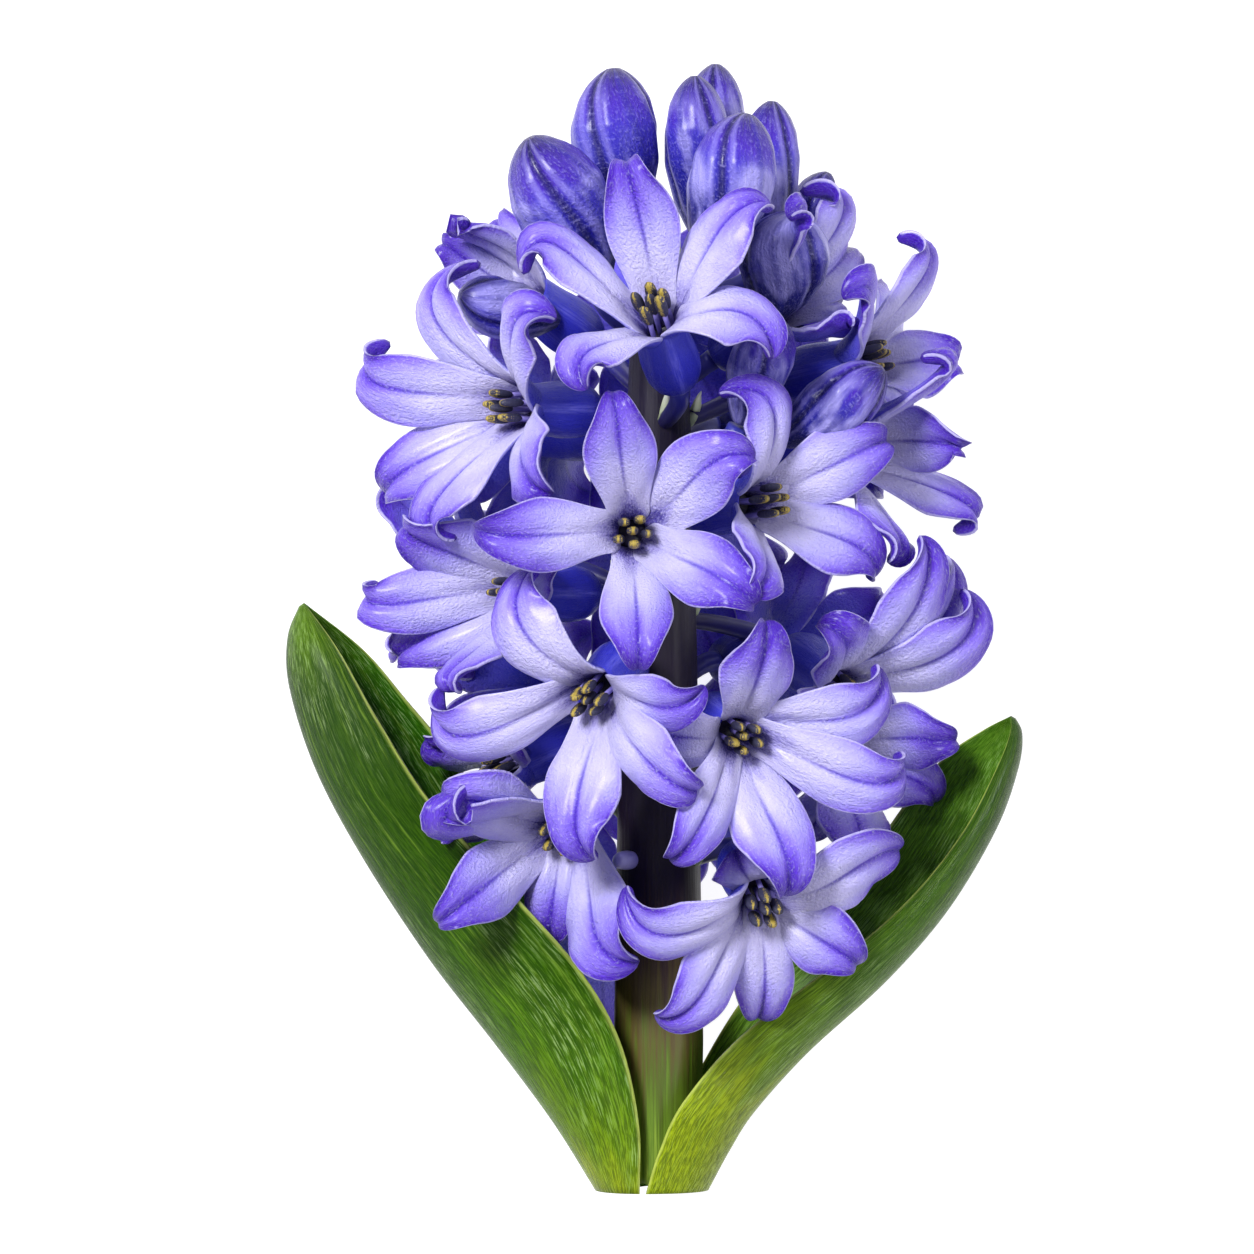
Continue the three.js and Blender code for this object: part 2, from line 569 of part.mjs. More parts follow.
function backFloret([height, azimuth, spin, stand]) {
  const around = THREE.MathUtils.degToRad(azimuth);
  const axis = new THREE.Vector3(Math.sin(around), 0, Math.cos(around));
  const [right, up] = sidesOf(axis);
  const petals = Array.from({ length: BACK_PETALS }, (_, i) => {
    const angle = THREE.MathUtils.degToRad(spin) + 2 * Math.PI * i / BACK_PETALS;
    const tip = right.clone().multiplyScalar(BACK_PETAL_REACH * Math.cos(angle))
      .addScaledVector(up, BACK_PETAL_REACH * Math.sin(angle))
      .addScaledVector(axis, BACK_PETAL_RISE);
    return [...tip.toArray(), ...BACK_PETAL_FORM];
  });
  const throat = axis.clone().multiplyScalar(stand).setY(height);
  return { throat: throat.toArray(), faces: axis.toArray(), seat: height - BACK_SEAT_DROP, petals };
}

const florets = { ...FLORETS };
BACK_FLORETS.forEach((row, i) => {
  florets[`back_${i + 1}`] = backFloret(row);
});

// Where two neighbours would cross, the later one is cut back to a narrow gap from the earlier one.
const placed = [];

function place(make) {
  let solid = make(0);
  for (const earlier of placed) {
    if (solid.intersect(earlier.solid).volume() > 0) {
      const pieces = solid.subtract(earlier.make(NEIGHBOUR_GAP)).subtract(earlier.solid).decompose();
      solid = pieces.reduce((most, piece) => (piece.volume() > most.volume() ? piece : most));
    }
  }
  placed.push({ solid, make });
  return solid;
}

// The petals that touch the surface are pressed flat there.
const surface = new THREE.BoxGeometry(400, 400, 40);
surface.translate(0, 0, -AXIS_HEIGHT - 20);
const below = solidOf(surface);

const flower = new THREE.Group();

function addPiece(name, solid, colour, roughness = 0.5) {
  const material = new THREE.MeshStandardMaterial({ color: colour, roughness, metalness: 0 });
  const mesh = new THREE.Mesh(geometryOf(solid), material);
  mesh.name = name;
  flower.add(mesh);
}

const carried = [];
for (const floret of Object.values(florets)) {
  const direction = vec(floret.faces).normalize();
  const end = vec(floret.throat).addScaledVector(direction, -TUBE_LENGTH - SEAT_GAP);
  carried.push({ end, direction, seat: floret.seat });
}
for (const bud of BUDS) {
  const direction = vec(bud.tip).sub(vec(bud.foot)).normalize();
  const end = vec(bud.foot).addScaledVector(direction, -SEAT_GAP);
  carried.push({ end, direction, seat: Math.min(bud.foot[1] - BUD_SEAT_DROP, HIGHEST_SEAT) });
}

addPiece('stem', stemSolid(carried), COLOURS.stem);
for (const [name, leaf] of Object.entries(LEAVES)) {
  addPiece(name, place((grow) => leafSolid(leaf, grow)), COLOURS.leaf, 0.35);
}
BUDS.forEach((bud, i) => {
  addPiece(`bud_${i + 1}`, place((grow) => budSolid(bud, grow)), COLOURS.bud, 0.4);
});
for (const [name, floret] of Object.entries(florets)) {
  const solid = place((grow) => floretSolid(floret, grow)).subtract(below);
  addPiece(`floret_${name}`, solid, COLOURS.petal, 0.4);
  if (!floret.closed) {
    addPiece(`stamens_${name}`, stamensSolid(floret), COLOURS.anther, 0.8);
  }
}

// The origin is on the surface, under the middle of the whole flower.
const extent = new THREE.Box3().setFromObject(flower);
const middle = extent.getCenter(new THREE.Vector3());
flower.position.set(-middle.x, -middle.y, AXIS_HEIGHT);

export default flower;
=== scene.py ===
import math
import random
import bpy
import numpy as np
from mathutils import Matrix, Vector


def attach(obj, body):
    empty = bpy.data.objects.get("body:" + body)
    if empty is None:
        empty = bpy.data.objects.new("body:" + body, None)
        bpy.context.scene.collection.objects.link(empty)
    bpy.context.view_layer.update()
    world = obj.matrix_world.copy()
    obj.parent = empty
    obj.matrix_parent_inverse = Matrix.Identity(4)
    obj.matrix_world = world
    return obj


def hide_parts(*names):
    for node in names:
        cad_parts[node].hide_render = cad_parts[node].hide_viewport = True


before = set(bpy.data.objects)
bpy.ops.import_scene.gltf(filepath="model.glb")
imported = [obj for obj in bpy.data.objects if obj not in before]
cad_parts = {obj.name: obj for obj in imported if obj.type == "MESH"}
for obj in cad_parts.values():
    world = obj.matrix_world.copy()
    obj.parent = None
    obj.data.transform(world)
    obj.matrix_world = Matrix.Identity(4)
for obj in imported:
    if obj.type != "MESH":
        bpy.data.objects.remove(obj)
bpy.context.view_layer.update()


random.seed(7)

# All places below are millimetres from the stem's foot: right, up the stem, towards the viewer.
# The flower is laid down in the frame by this shift.
flower = {
    "foot": (0.503, -73.8, 29.8), "millimetre": 0.001, "dip": 1.8, "softness": 1.6, "clear": 0.02,
    "bend": 1.8,
}


def inFrame(points):
    return (np.asarray(points, float) + np.array(flower["foot"])) * flower["millimetre"]


def pressed(points):
    # petals that reach the surface bend flat along it
    depth = points[:, 2] + flower["foot"][2]
    low = np.clip((depth + flower["dip"]) / (flower["dip"] + flower["softness"]), 0, 1)
    bent = flower["clear"] + flower["softness"] * low ** flower["bend"]
    depth = np.where(depth < flower["softness"], bent, depth)
    return np.column_stack([points[:, :2], depth - flower["foot"][2]])


def unit(v):
    v = np.asarray(v, float)
    return v / np.linalg.norm(v)


def unitRows(v):
    return v / np.linalg.norm(v, axis=1)[:, None]


def smooth(low, high, value):
    t = np.clip((np.asarray(value, float) - low) / (high - low), 0, 1)
    return t * t * (3 - 2 * t)


def ridge(distance, width):
    return np.exp(-(distance / width) ** 2)


def softened(values):
    return np.convolve(np.pad(values, 1, mode="edge"), [0.25, 0.5, 0.25], mode="valid")


def either(most):
    return random.uniform(-most, most)


def anyPhase():
    return random.uniform(0, 6)


def anyTone():
    return random.random(), random.random()


def bezier(a, b, c, d, count):
    t = np.linspace(0, 1, count)[:, None]
    return (1 - t) ** 3 * a + 3 * (1 - t) ** 2 * t * b + 3 * (1 - t) * t * t * c + t ** 3 * d


def stepsOf(line):
    return np.linalg.norm(np.diff(line, axis=0), axis=1)


def evenly(points, shares):
    # places at shares of a line's length, with the line's direction there
    steps = stepsOf(points)
    along = np.concatenate([[0], np.cumsum(steps)]) / steps.sum()
    at = np.stack([np.interp(shares, along, points[:, k]) for k in range(3)], axis=1)
    slope = np.gradient(points, along, axis=0)
    way = np.stack([np.interp(shares, along, slope[:, k]) for k in range(3)], axis=1)
    return at, unitRows(way)


def sidesOf(axis):
    up = np.array([0, 1, 0]) if abs(axis[1]) < 0.9 else np.array([0, 0, -1])
    right = unit(np.cross(up, axis))
    return right, np.cross(axis, right)


def awayFromStem(place):
    return unit(place * np.array([1, 0, 1]))


def ringAngles(sides):
    return np.linspace(0, 2 * math.pi, sides, endpoint=False)


def circleOf(right, up, angle, flatness=1.0):
    return right * np.cos(angle)[:, None] + up * (np.sin(angle) * flatness)[:, None]


def addObject(name, data):
    added = bpy.data.objects.new(name, data)
    bpy.context.scene.collection.objects.link(added)
    return added


# A skin is a grid of rings closed by a fan to one point at each end.
# Each point has a place on the surface (across, along) and each column of faces a finish.
def makeSkin(rings, across, along, columnLooks, startPoint, endPoint, tone):
    rows, columns = rings.shape[:2]
    points = np.concatenate([rings.reshape(-1, 3), [startPoint, endPoint]])
    places = np.stack([np.broadcast_to(across, (rows, columns)),
                       np.broadcast_to(along, (rows, columns))], axis=2).reshape(-1, 2)
    middle = float(np.mean(places[:columns, 0]))
    places = np.concatenate([places, [[middle, places[0, 1]], [middle, places[-1, 1]]]])
    first, last = rows * columns, rows * columns + 1
    faces, faceLooks = [], []
    for row in range(rows - 1):
        for column in range(columns):
            a = row * columns + column
            b = row * columns + (column + 1) % columns
            faces.append((a, b, b + columns, a + columns))
            faceLooks.append(columnLooks[column])
    for column in range(columns):
        nextColumn = (column + 1) % columns
        faces.append((first, nextColumn, column))
        faces.append((last, (rows - 1) * columns + column, (rows - 1) * columns + nextColumn))
        faceLooks += [columnLooks[column]] * 2
    corners = points[list(faces[0][:3])]
    facing = np.cross(corners[1] - corners[0], corners[2] - corners[0])
    if np.dot(facing, corners[0] - rings[:2].reshape(-1, 3).mean(axis=0)) < 0:
        faces = [face[::-1] for face in faces]
    return {"points": points, "faces": faces, "looks": faceLooks, "places": places, "tone": tone}


def makePiece(name, skins, looks, node):
    points, faces, faceLooks, places, tones = [], [], [], [], []
    start = 0
    for skin in skins:
        points.append(skin["points"])
        faces += [tuple(start + i for i in face) for face in skin["faces"]]
        faceLooks += [looks.index(look) for look in skin["looks"]]
        places.append(skin["places"])
        tones.append(np.tile(skin["tone"], (len(skin["points"]), 1)))
        start += len(skin["points"])
    mesh = bpy.data.meshes.new(name)
    mesh.from_pydata(inFrame(pressed(np.concatenate(points))).tolist(), [], faces)
    corners = np.empty(len(mesh.loops), dtype=np.int32)
    mesh.loops.foreach_get("vertex_index", corners)
    for layerName, values in (("surface", np.concatenate(places)), ("tone", np.concatenate(tones))):
        layer = mesh.uv_layers.new(name=layerName)
        layer.data.foreach_set("uv", values[corners].astype(np.float32).ravel())
    for look in looks:
        mesh.materials.append(finishes[look])
    mesh.polygons.foreach_set("material_index", np.array(faceLooks, dtype=np.int32))
    mesh.polygons.foreach_set("use_smooth", np.ones(len(faces), dtype=bool))
    mesh.update()
    piece = addObject(name, mesh)
    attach(piece, "root")
    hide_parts(node)


# what every finish shares
waxy = {
    "coatRoughness": 0.25, "glowRadius": (1.0, 0.8, 1.0), "glowDepth": 0.0012,
    "streakRoughness": 0.6, "toneSpread": 37.0,
}


def colour(text):
    channels = [int(text[i:i + 2], 16) / 255 for i in (0, 2, 4)]
    return [c / 12.92 if c < 0.04045 else ((c + 0.055) / 1.055) ** 2.4 for c in channels] + [1]


def setInputs(tree, node, inputs):
    for key, value in inputs.items():
        if isinstance(value, bpy.types.NodeSocket):
            tree.links.new(value, node.inputs[key])
        else:
            node.inputs[key].default_value = value


def newFinish(name, roughness, coat=0.0, glow=0.0, shine=0.5):
    finish = bpy.data.materials.new(name)
    finish.use_nodes = True
    tree = finish.node_tree
    shader = tree.nodes["Principled BSDF"]
    setInputs(tree, shader, {
        "Roughness": roughness, "Specular IOR Level": shine,
        "Coat Weight": coat, "Coat Roughness": waxy["coatRoughness"],
        "Subsurface Weight": glow, "Subsurface Radius": waxy["glowRadius"],
        "Subsurface Scale": waxy["glowDepth"],
    })
    return finish, tree, shader


def put(tree, kind, inputs, **settings):
    node = tree.nodes.new(kind)
    for key, value in settings.items():
        setattr(node, key, value)
    setInputs(tree, node, inputs)
    return node


def calc(tree, operation, a, b=0.0, c=0.0):
    return put(tree, "ShaderNodeMath", {0: a, 1: b, 2: c}, operation=operation).outputs[0]


def between(tree, value, low, high):
    node = put(tree, "ShaderNodeMapRange", {"Value": value, "From Min": low, "From Max": high},
               interpolation_type="SMOOTHSTEP")
    return node.outputs["Result"]


def shifted(tree, place, source, amount):
    # moves a place by how far the source is from its middle value
    return calc(tree, "MULTIPLY_ADD", calc(tree, "SUBTRACT", source, 0.5), amount, place)


def faded(tree, sources, share, fades):
    # a share that fades with sources, each from one value to another or as it is
    for source, *span in fades:
        value = sources[source]
        share = calc(tree, "MULTIPLY", share, between(tree, value, *span) if span else value)
    return share


def blendOf(tree, share, first, second):
    return put(tree, "ShaderNodeMix", {0: share, 6: first, 7: second}, data_type="RGBA").outputs[2]


def ramp(tree, value, stops):
    node = put(tree, "ShaderNodeValToRGB", {0: value})
    steps = node.color_ramp.elements
    while len(steps) < len(stops):
        steps.new(0.5)
    for step, (place, text) in zip(steps, stops):
        step.position = place
        step.color = colour(text)
    return node.outputs["Color"]


def layerValues(tree, layerName):
    layer = put(tree, "ShaderNodeUVMap", {}, uv_map=layerName).outputs[0]
    split = put(tree, "ShaderNodeSeparateXYZ", {0: layer})
    return split.outputs[0], split.outputs[1]


def sourcesOf(tree, look):
    # tones: of the petal, or for a leaf the share of painted light that lifts its colours, and of the
    # whole floret or leaf
    across, along = layerValues(tree, "surface")
    ownTone, groupTone = layerValues(tree, "tone")
    fromMiddle = calc(tree, "ABSOLUTE", calc(tree, "MULTIPLY_ADD", across, 2.0, -1.0))
    sources = {"across": across, "along": along, "ownTone": ownTone, "groupTone": groupTone,
               "fromMiddle": fromMiddle, "toMiddle": calc(tree, "SUBTRACT", 1.0, fromMiddle)}
    for name, (tone, acrossScale, alongScale, detail) in look["streaks"].items():
        scales = ((across, acrossScale), (along, alongScale), (sources[tone], waxy["toneSpread"]))
        scaled = {k: calc(tree, "MULTIPLY", *pair) for k, pair in enumerate(scales)}
        place = put(tree, "ShaderNodeCombineXYZ", scaled).outputs[0]
        noise = {"Vector": place, "Scale": 1.0, "Detail": detail, "Roughness": waxy["streakRoughness"]}
        sources[name] = put(tree, "ShaderNodeTexNoise", noise).outputs[0]
        if name == "wander":  # later streaks follow its wavy course
            across = shifted(tree, across, sources[name], look["waver"])
    return sources


def dress(tree, shader, sources, base, look):
    tree.links.new(base, shader.inputs["Base Color"])
    if "gloss" in look:
        source, amount, least = look["gloss"]
        rough = calc(tree, "MULTIPLY_ADD", sources[source], amount, least)
        tree.links.new(rough, shader.inputs["Roughness"])
    height = 0.0
    for source, amount in look["heights"].items():
        height = calc(tree, "MULTIPLY_ADD", sources[source], amount, height)
    strength, distance = look["relief"]
    bump = put(tree, "ShaderNodeBump", {"Height": height, "Strength": strength, "Distance": distance})
    tree.links.new(bump.outputs[0], shader.inputs["Normal"])


def makeFinish(name, look):
    finish, tree, shader = newFinish(name, **look["surface"])
    sources = sourcesOf(tree, look)
    for mix, (value, parts, shifts) in look.get("mixes", {}).items():
        for share, fade in parts:
            value = calc(tree, "ADD", value, faded(tree, sources, share, [fade]))
        for source, amount in shifts.items():
            value = shifted(tree, value, sources[source], amount)
        sources[mix] = value
    start = place = sources[look.get("start", "along")]
    for source, power, amount, *fades in look.get("lifts", []):
        lift = faded(tree, sources, calc(tree, "POWER", sources[source], power), fades)
        place = calc(tree, "MULTIPLY_ADD", lift, amount, place)
    for source, amount in look.get("shifts", {}).items():
        place = shifted(tree, place, sources[source], amount)
    base = ramp(tree, place, look["colours"])
    for paint, share, *fades in look.get("marks", []):
        paint = ramp(tree, start, paint) if isinstance(paint, list) else colour(paint)
        base = blendOf(tree, faded(tree, sources, share, fades), base, paint)
    dress(tree, shader, sources, base, look)
    return finish


# Streaks: the tone they go by, how fine they are across and along, their detail.
# Colours run from foot to tip, and lifts and shifts say what moves them, and how far.
# Mixes: a value, shares added to it and what shifts it.
# Marks: a colour or colours, their share, and the sources they fade in with, from and to.
# Gloss: what roughens the surface, how much, and the least. Relief: strength and depth.
petalLook = {
    "surface": {"roughness": 0.42, "coat": 0.26, "glow": 0.06, "shine": 0.3},
    "streaks": {"fine": ("ownTone", 26, 6, 3), "broad": ("groupTone", 3, 2.6, 3),
                "wrinkles": ("ownTone", 30, 56, 4)},
    "lifts": [("fromMiddle", 3, 0.28), ("toMiddle", 5, 0.22, ("along", 0.3, 0.75))],
    "shifts": {"fine": 0.1, "wrinkles": 0.14, "broad": 0.4, "ownTone": 0.1},
    "gloss": ("wrinkles", 0.35, 0.14), "heights": {"fine": 0.3, "wrinkles": 1},
    "relief": (0.9, 0.0007),
}
# painted highlight: a whitish line along the petal margins
petalEdgeHighlight = ("e0dcff", 0.55, ("fromMiddle", 0.94, 0.99))
petalInner = {
    **petalLook,
    # the darkest colours at the foot lie down inside the throat: painted shade
    "colours": [(0, "30286e"), (0.1, "5a50ac"), (0.16, "a098e2"), (0.26, "cac4f8"),
                (0.48, "ccc6ff"), (0.66, "aca2fa"), (0.8, "8870ee"), (0.92, "623cd8"), (1, "4c22c0")],
    "marks": [("4a2cc4", 0.75, ("fromMiddle", 0.1, 0), ("along", 0.2, 0.55)),
              # painted highlight: whitish specks on the wrinkles
              ("f2f0ff", 0.3, ("wrinkles", 0.5, 0.74)), petalEdgeHighlight],
}
petalOuter = {
    **petalLook,
    "colours": [(0, "2c30b4"), (0.2, "3a3ccc"), (0.45, "5e5ae4"), (0.7, "7262ea"),
                (0.88, "5c38d6"), (1, "4c22c0")],
    "marks": [("2f2cb0", 0.5, ("fromMiddle", 0.1, 0), ("along", 0.2, 0.55)),
              # painted highlight: light specks on the wrinkles
              ("9a94ea", 0.3, ("wrinkles", 0.5, 0.74)), petalEdgeHighlight],
}
petalTube = {
    "surface": {"roughness": 0.4, "coat": 0.2, "glow": 0.05, "shine": 0.28},
    "streaks": {"fine": ("groupTone", 9, 5, 3), "wrinkles": ("groupTone", 12, 30, 4)},
    "shifts": {"fine": 0.12},
    # the last colours lie down inside the throat and darken there: painted shade
    "colours": [(0, "30328c"), (0.15, "2426a6"), (0.4, "2e30bc"), (0.62, "4042cc"),
                (0.78, "3230b4"), (0.86, "28226c"), (1, "1a1630")],
    # painted highlight: light mottled streaks along the crests of the lobes
    "marks": [("706fdc", 0.6, ("across", 0.5, 1), ("fine", 0.35, 0.7), ("along", 0.78, 0.6))],
    "gloss": ("wrinkles", 0.3, 0.18), "heights": {"fine": 0.5, "wrinkles": 1},
    "relief": (0.6, 0.0005),
}
leafLook = {
    "surface": {"roughness": 0.3, "coat": 0.05, "shine": 0.14},
    "streaks": {"broad": ("groupTone", 6, 3, 2), "wander": ("groupTone", 5, 9, 2),
                "veins": ("groupTone", 76, 2.4, 3), "fine": ("groupTone", 230, 34, 3)},
    # painted light: the lift moves the right leaf's colours down the ramp to the lighter ones, as if it
    # were lit
    "waver": 0.014, "lifts": [("ownTone", 1, -0.25)], "shifts": {"broad": 0.34},
    "gloss": ("fine", 0.3, 0.12), "heights": {"veins": 0.45, "fine": 1}, "relief": (0.6, 0.0005),
}
leafMarks = [
    ("0c3000", 0.62, ("fine", 0.58, 0.42)),
    ("c9d86a", 0.6, ("fromMiddle", 0.97, 0.995)),
    # painted highlight: a greyish green sheen on the streaks within a broad band
    ("b4cc90", 0.34, ("fine", 0.54, 0.64), ("broad", 0.46, 0.6)),
]
leafOuter = {
    **leafLook,
    "colours": [(0, "94a80e"), (0.08, "6e9004"), (0.22, "4c7800"), (0.42, "325800"),
                (0.8, "2a4a00"), (1, "608808")],
    "marks": [("8aae3a", 0.36, ("veins", 0.5, 0.68)), *leafMarks],
}
leafInner = {
    **leafLook,
    "colours": [(0, "70981a"), (0.12, "54880a"), (0.35, "427c08"), (0.8, "326a06"), (1, "4c8008")],
    # painted light: the right leaf's hollow is lifted to a lighter green, as if lit
    "marks": [("6ea028", 0.6, ("ownTone",)), ("8aae3a", 0.3, ("veins", 0.5, 0.68)), *leafMarks],
}
stemSkin = {
    "surface": {"roughness": 0.45, "coat": 0.05, "shine": 0.3},
    "streaks": {"fine": ("groupTone", 14, 9, 4)}, "shifts": {"fine": 0.3},
    "colours": [(0, "86a034"), (0.06, "5c7a1c"), (0.12, "4c5e18"), (0.18, "544a22"),
                (0.26, "3c2a26"), (0.32, "241a28"), (1, "1c1530")],
    "heights": {"fine": 1}, "relief": (0.35, 0.0004),
}
budSkin = {
    "surface": {"roughness": 0.34, "coat": 0.35, "glow": 0.04, "shine": 0.25},
    "streaks": {"fine": ("ownTone", 24, 6, 3), "wrinkles": ("groupTone", 30, 44, 4),
                "broad": ("ownTone", 2.4, 2.6, 2)},
    "mixes": {"mottle": (0.9, [], {"fine": 1.1})}, "shifts": {"fine": 0.3},
    "colours": [(0, "0e125c"), (0.16, "0e126c"), (0.4, "181690"), (0.62, "382cb8"),
                (0.78, "4220b4"), (0.9, "2e0c92"), (1, "1a0460")],
    # light lilac patches, partly the bud's own mottling and partly painted highlight; painted shade in
    # the creases; the rib; lips of the petals; and painted highlight specks
    "marks": [("b4aef8", 0.78, ("broad", 0.42, 0.62), ("fromMiddle", 0.88, 0.45),
               ("along", 0.94, 0.66), ("mottle",)),
              # painted shade in the creases between the petals
              ("0c0a4c", 0.78, ("fromMiddle", 0.82, 0.98), ("along", 0.05, 0.25)),
              ("1c1890", 0.45, ("fromMiddle", 0.16, 0.02)),
              ("a49cee", 0.3, ("fromMiddle", 0.6, 0.72), ("fromMiddle", 0.86, 0.76)),
              # painted highlight: light specks on the wrinkles
              ("b4aef8", 0.3, ("wrinkles", 0.5, 0.72))],
    "gloss": ("wrinkles", 0.3, 0.18), "heights": {"fine": 0.5, "wrinkles": 1},
    "relief": (0.8, 0.0006),
}
smallLook = {
    "streaks": {"fine": ("ownTone", 8, 8, 3)}, "shifts": {"fine": 0.25}, "heights": {"fine": 1},
    "relief": (0.4, 0.0002),
}
# the small parts: colours, roughness and coat
smallParts = {
    "stalkSkin": ([(0, "201a38"), (0.5, "2e2a6c"), (1, "36389c")], 0.4, 0.15),
    "bract": ([(0, "8fa06a"), (0.6, "cfd8b4"), (1, "e4e6dc")], 0.5, 0),
    "stuntedBud": ([(0, "8078d0"), (1, "cbc4f8")], 0.3, 0.3),
    "filament": ([(0, "5a50a8"), (1, "8a80c8")], 0.45, 0),
}
anther = {
    "surface": {"roughness": 0.55, "coat": 0.05}, "streaks": {"grain": ("ownTone", 14, 14, 3)},
    # pollen lies along the slit and on the tip
    "mixes": {"dust": (0, [(0.45, ("fromMiddle", 0.6, 0.12)), (0.35, ("along", 0.5, 0.95))],
                       {"ownTone": 0.4, "grain": 1.6})},
    "start": "grain", "colours": [(0, "17162a"), (0.5, "2a2a44"), (1, "4a4a68")],
    "marks": [([(0, "6a5c2a"), (0.5, "a8923c"), (1, "dcc860")], 1, ("dust", 0.4, 0.6))],
    "heights": {"grain": 1}, "relief": (0.6, 0.0002),
}
allLooks = dict(petalInner=petalInner, petalOuter=petalOuter, petalTube=petalTube, leafOuter=leafOuter,
                leafInner=leafInner, stemSkin=stemSkin, budSkin=budSkin, anther=anther)
for name, (stops, roughness, coat) in smallParts.items():
    surface = {"roughness": roughness, "coat": coat, "glow": 0.05}
    allLooks[name] = {**smallLook, "surface": surface, "colours": stops}
finishes = {name: makeFinish(name, look) for name, look in allLooks.items()}
print("finishes made:", len(finishes))

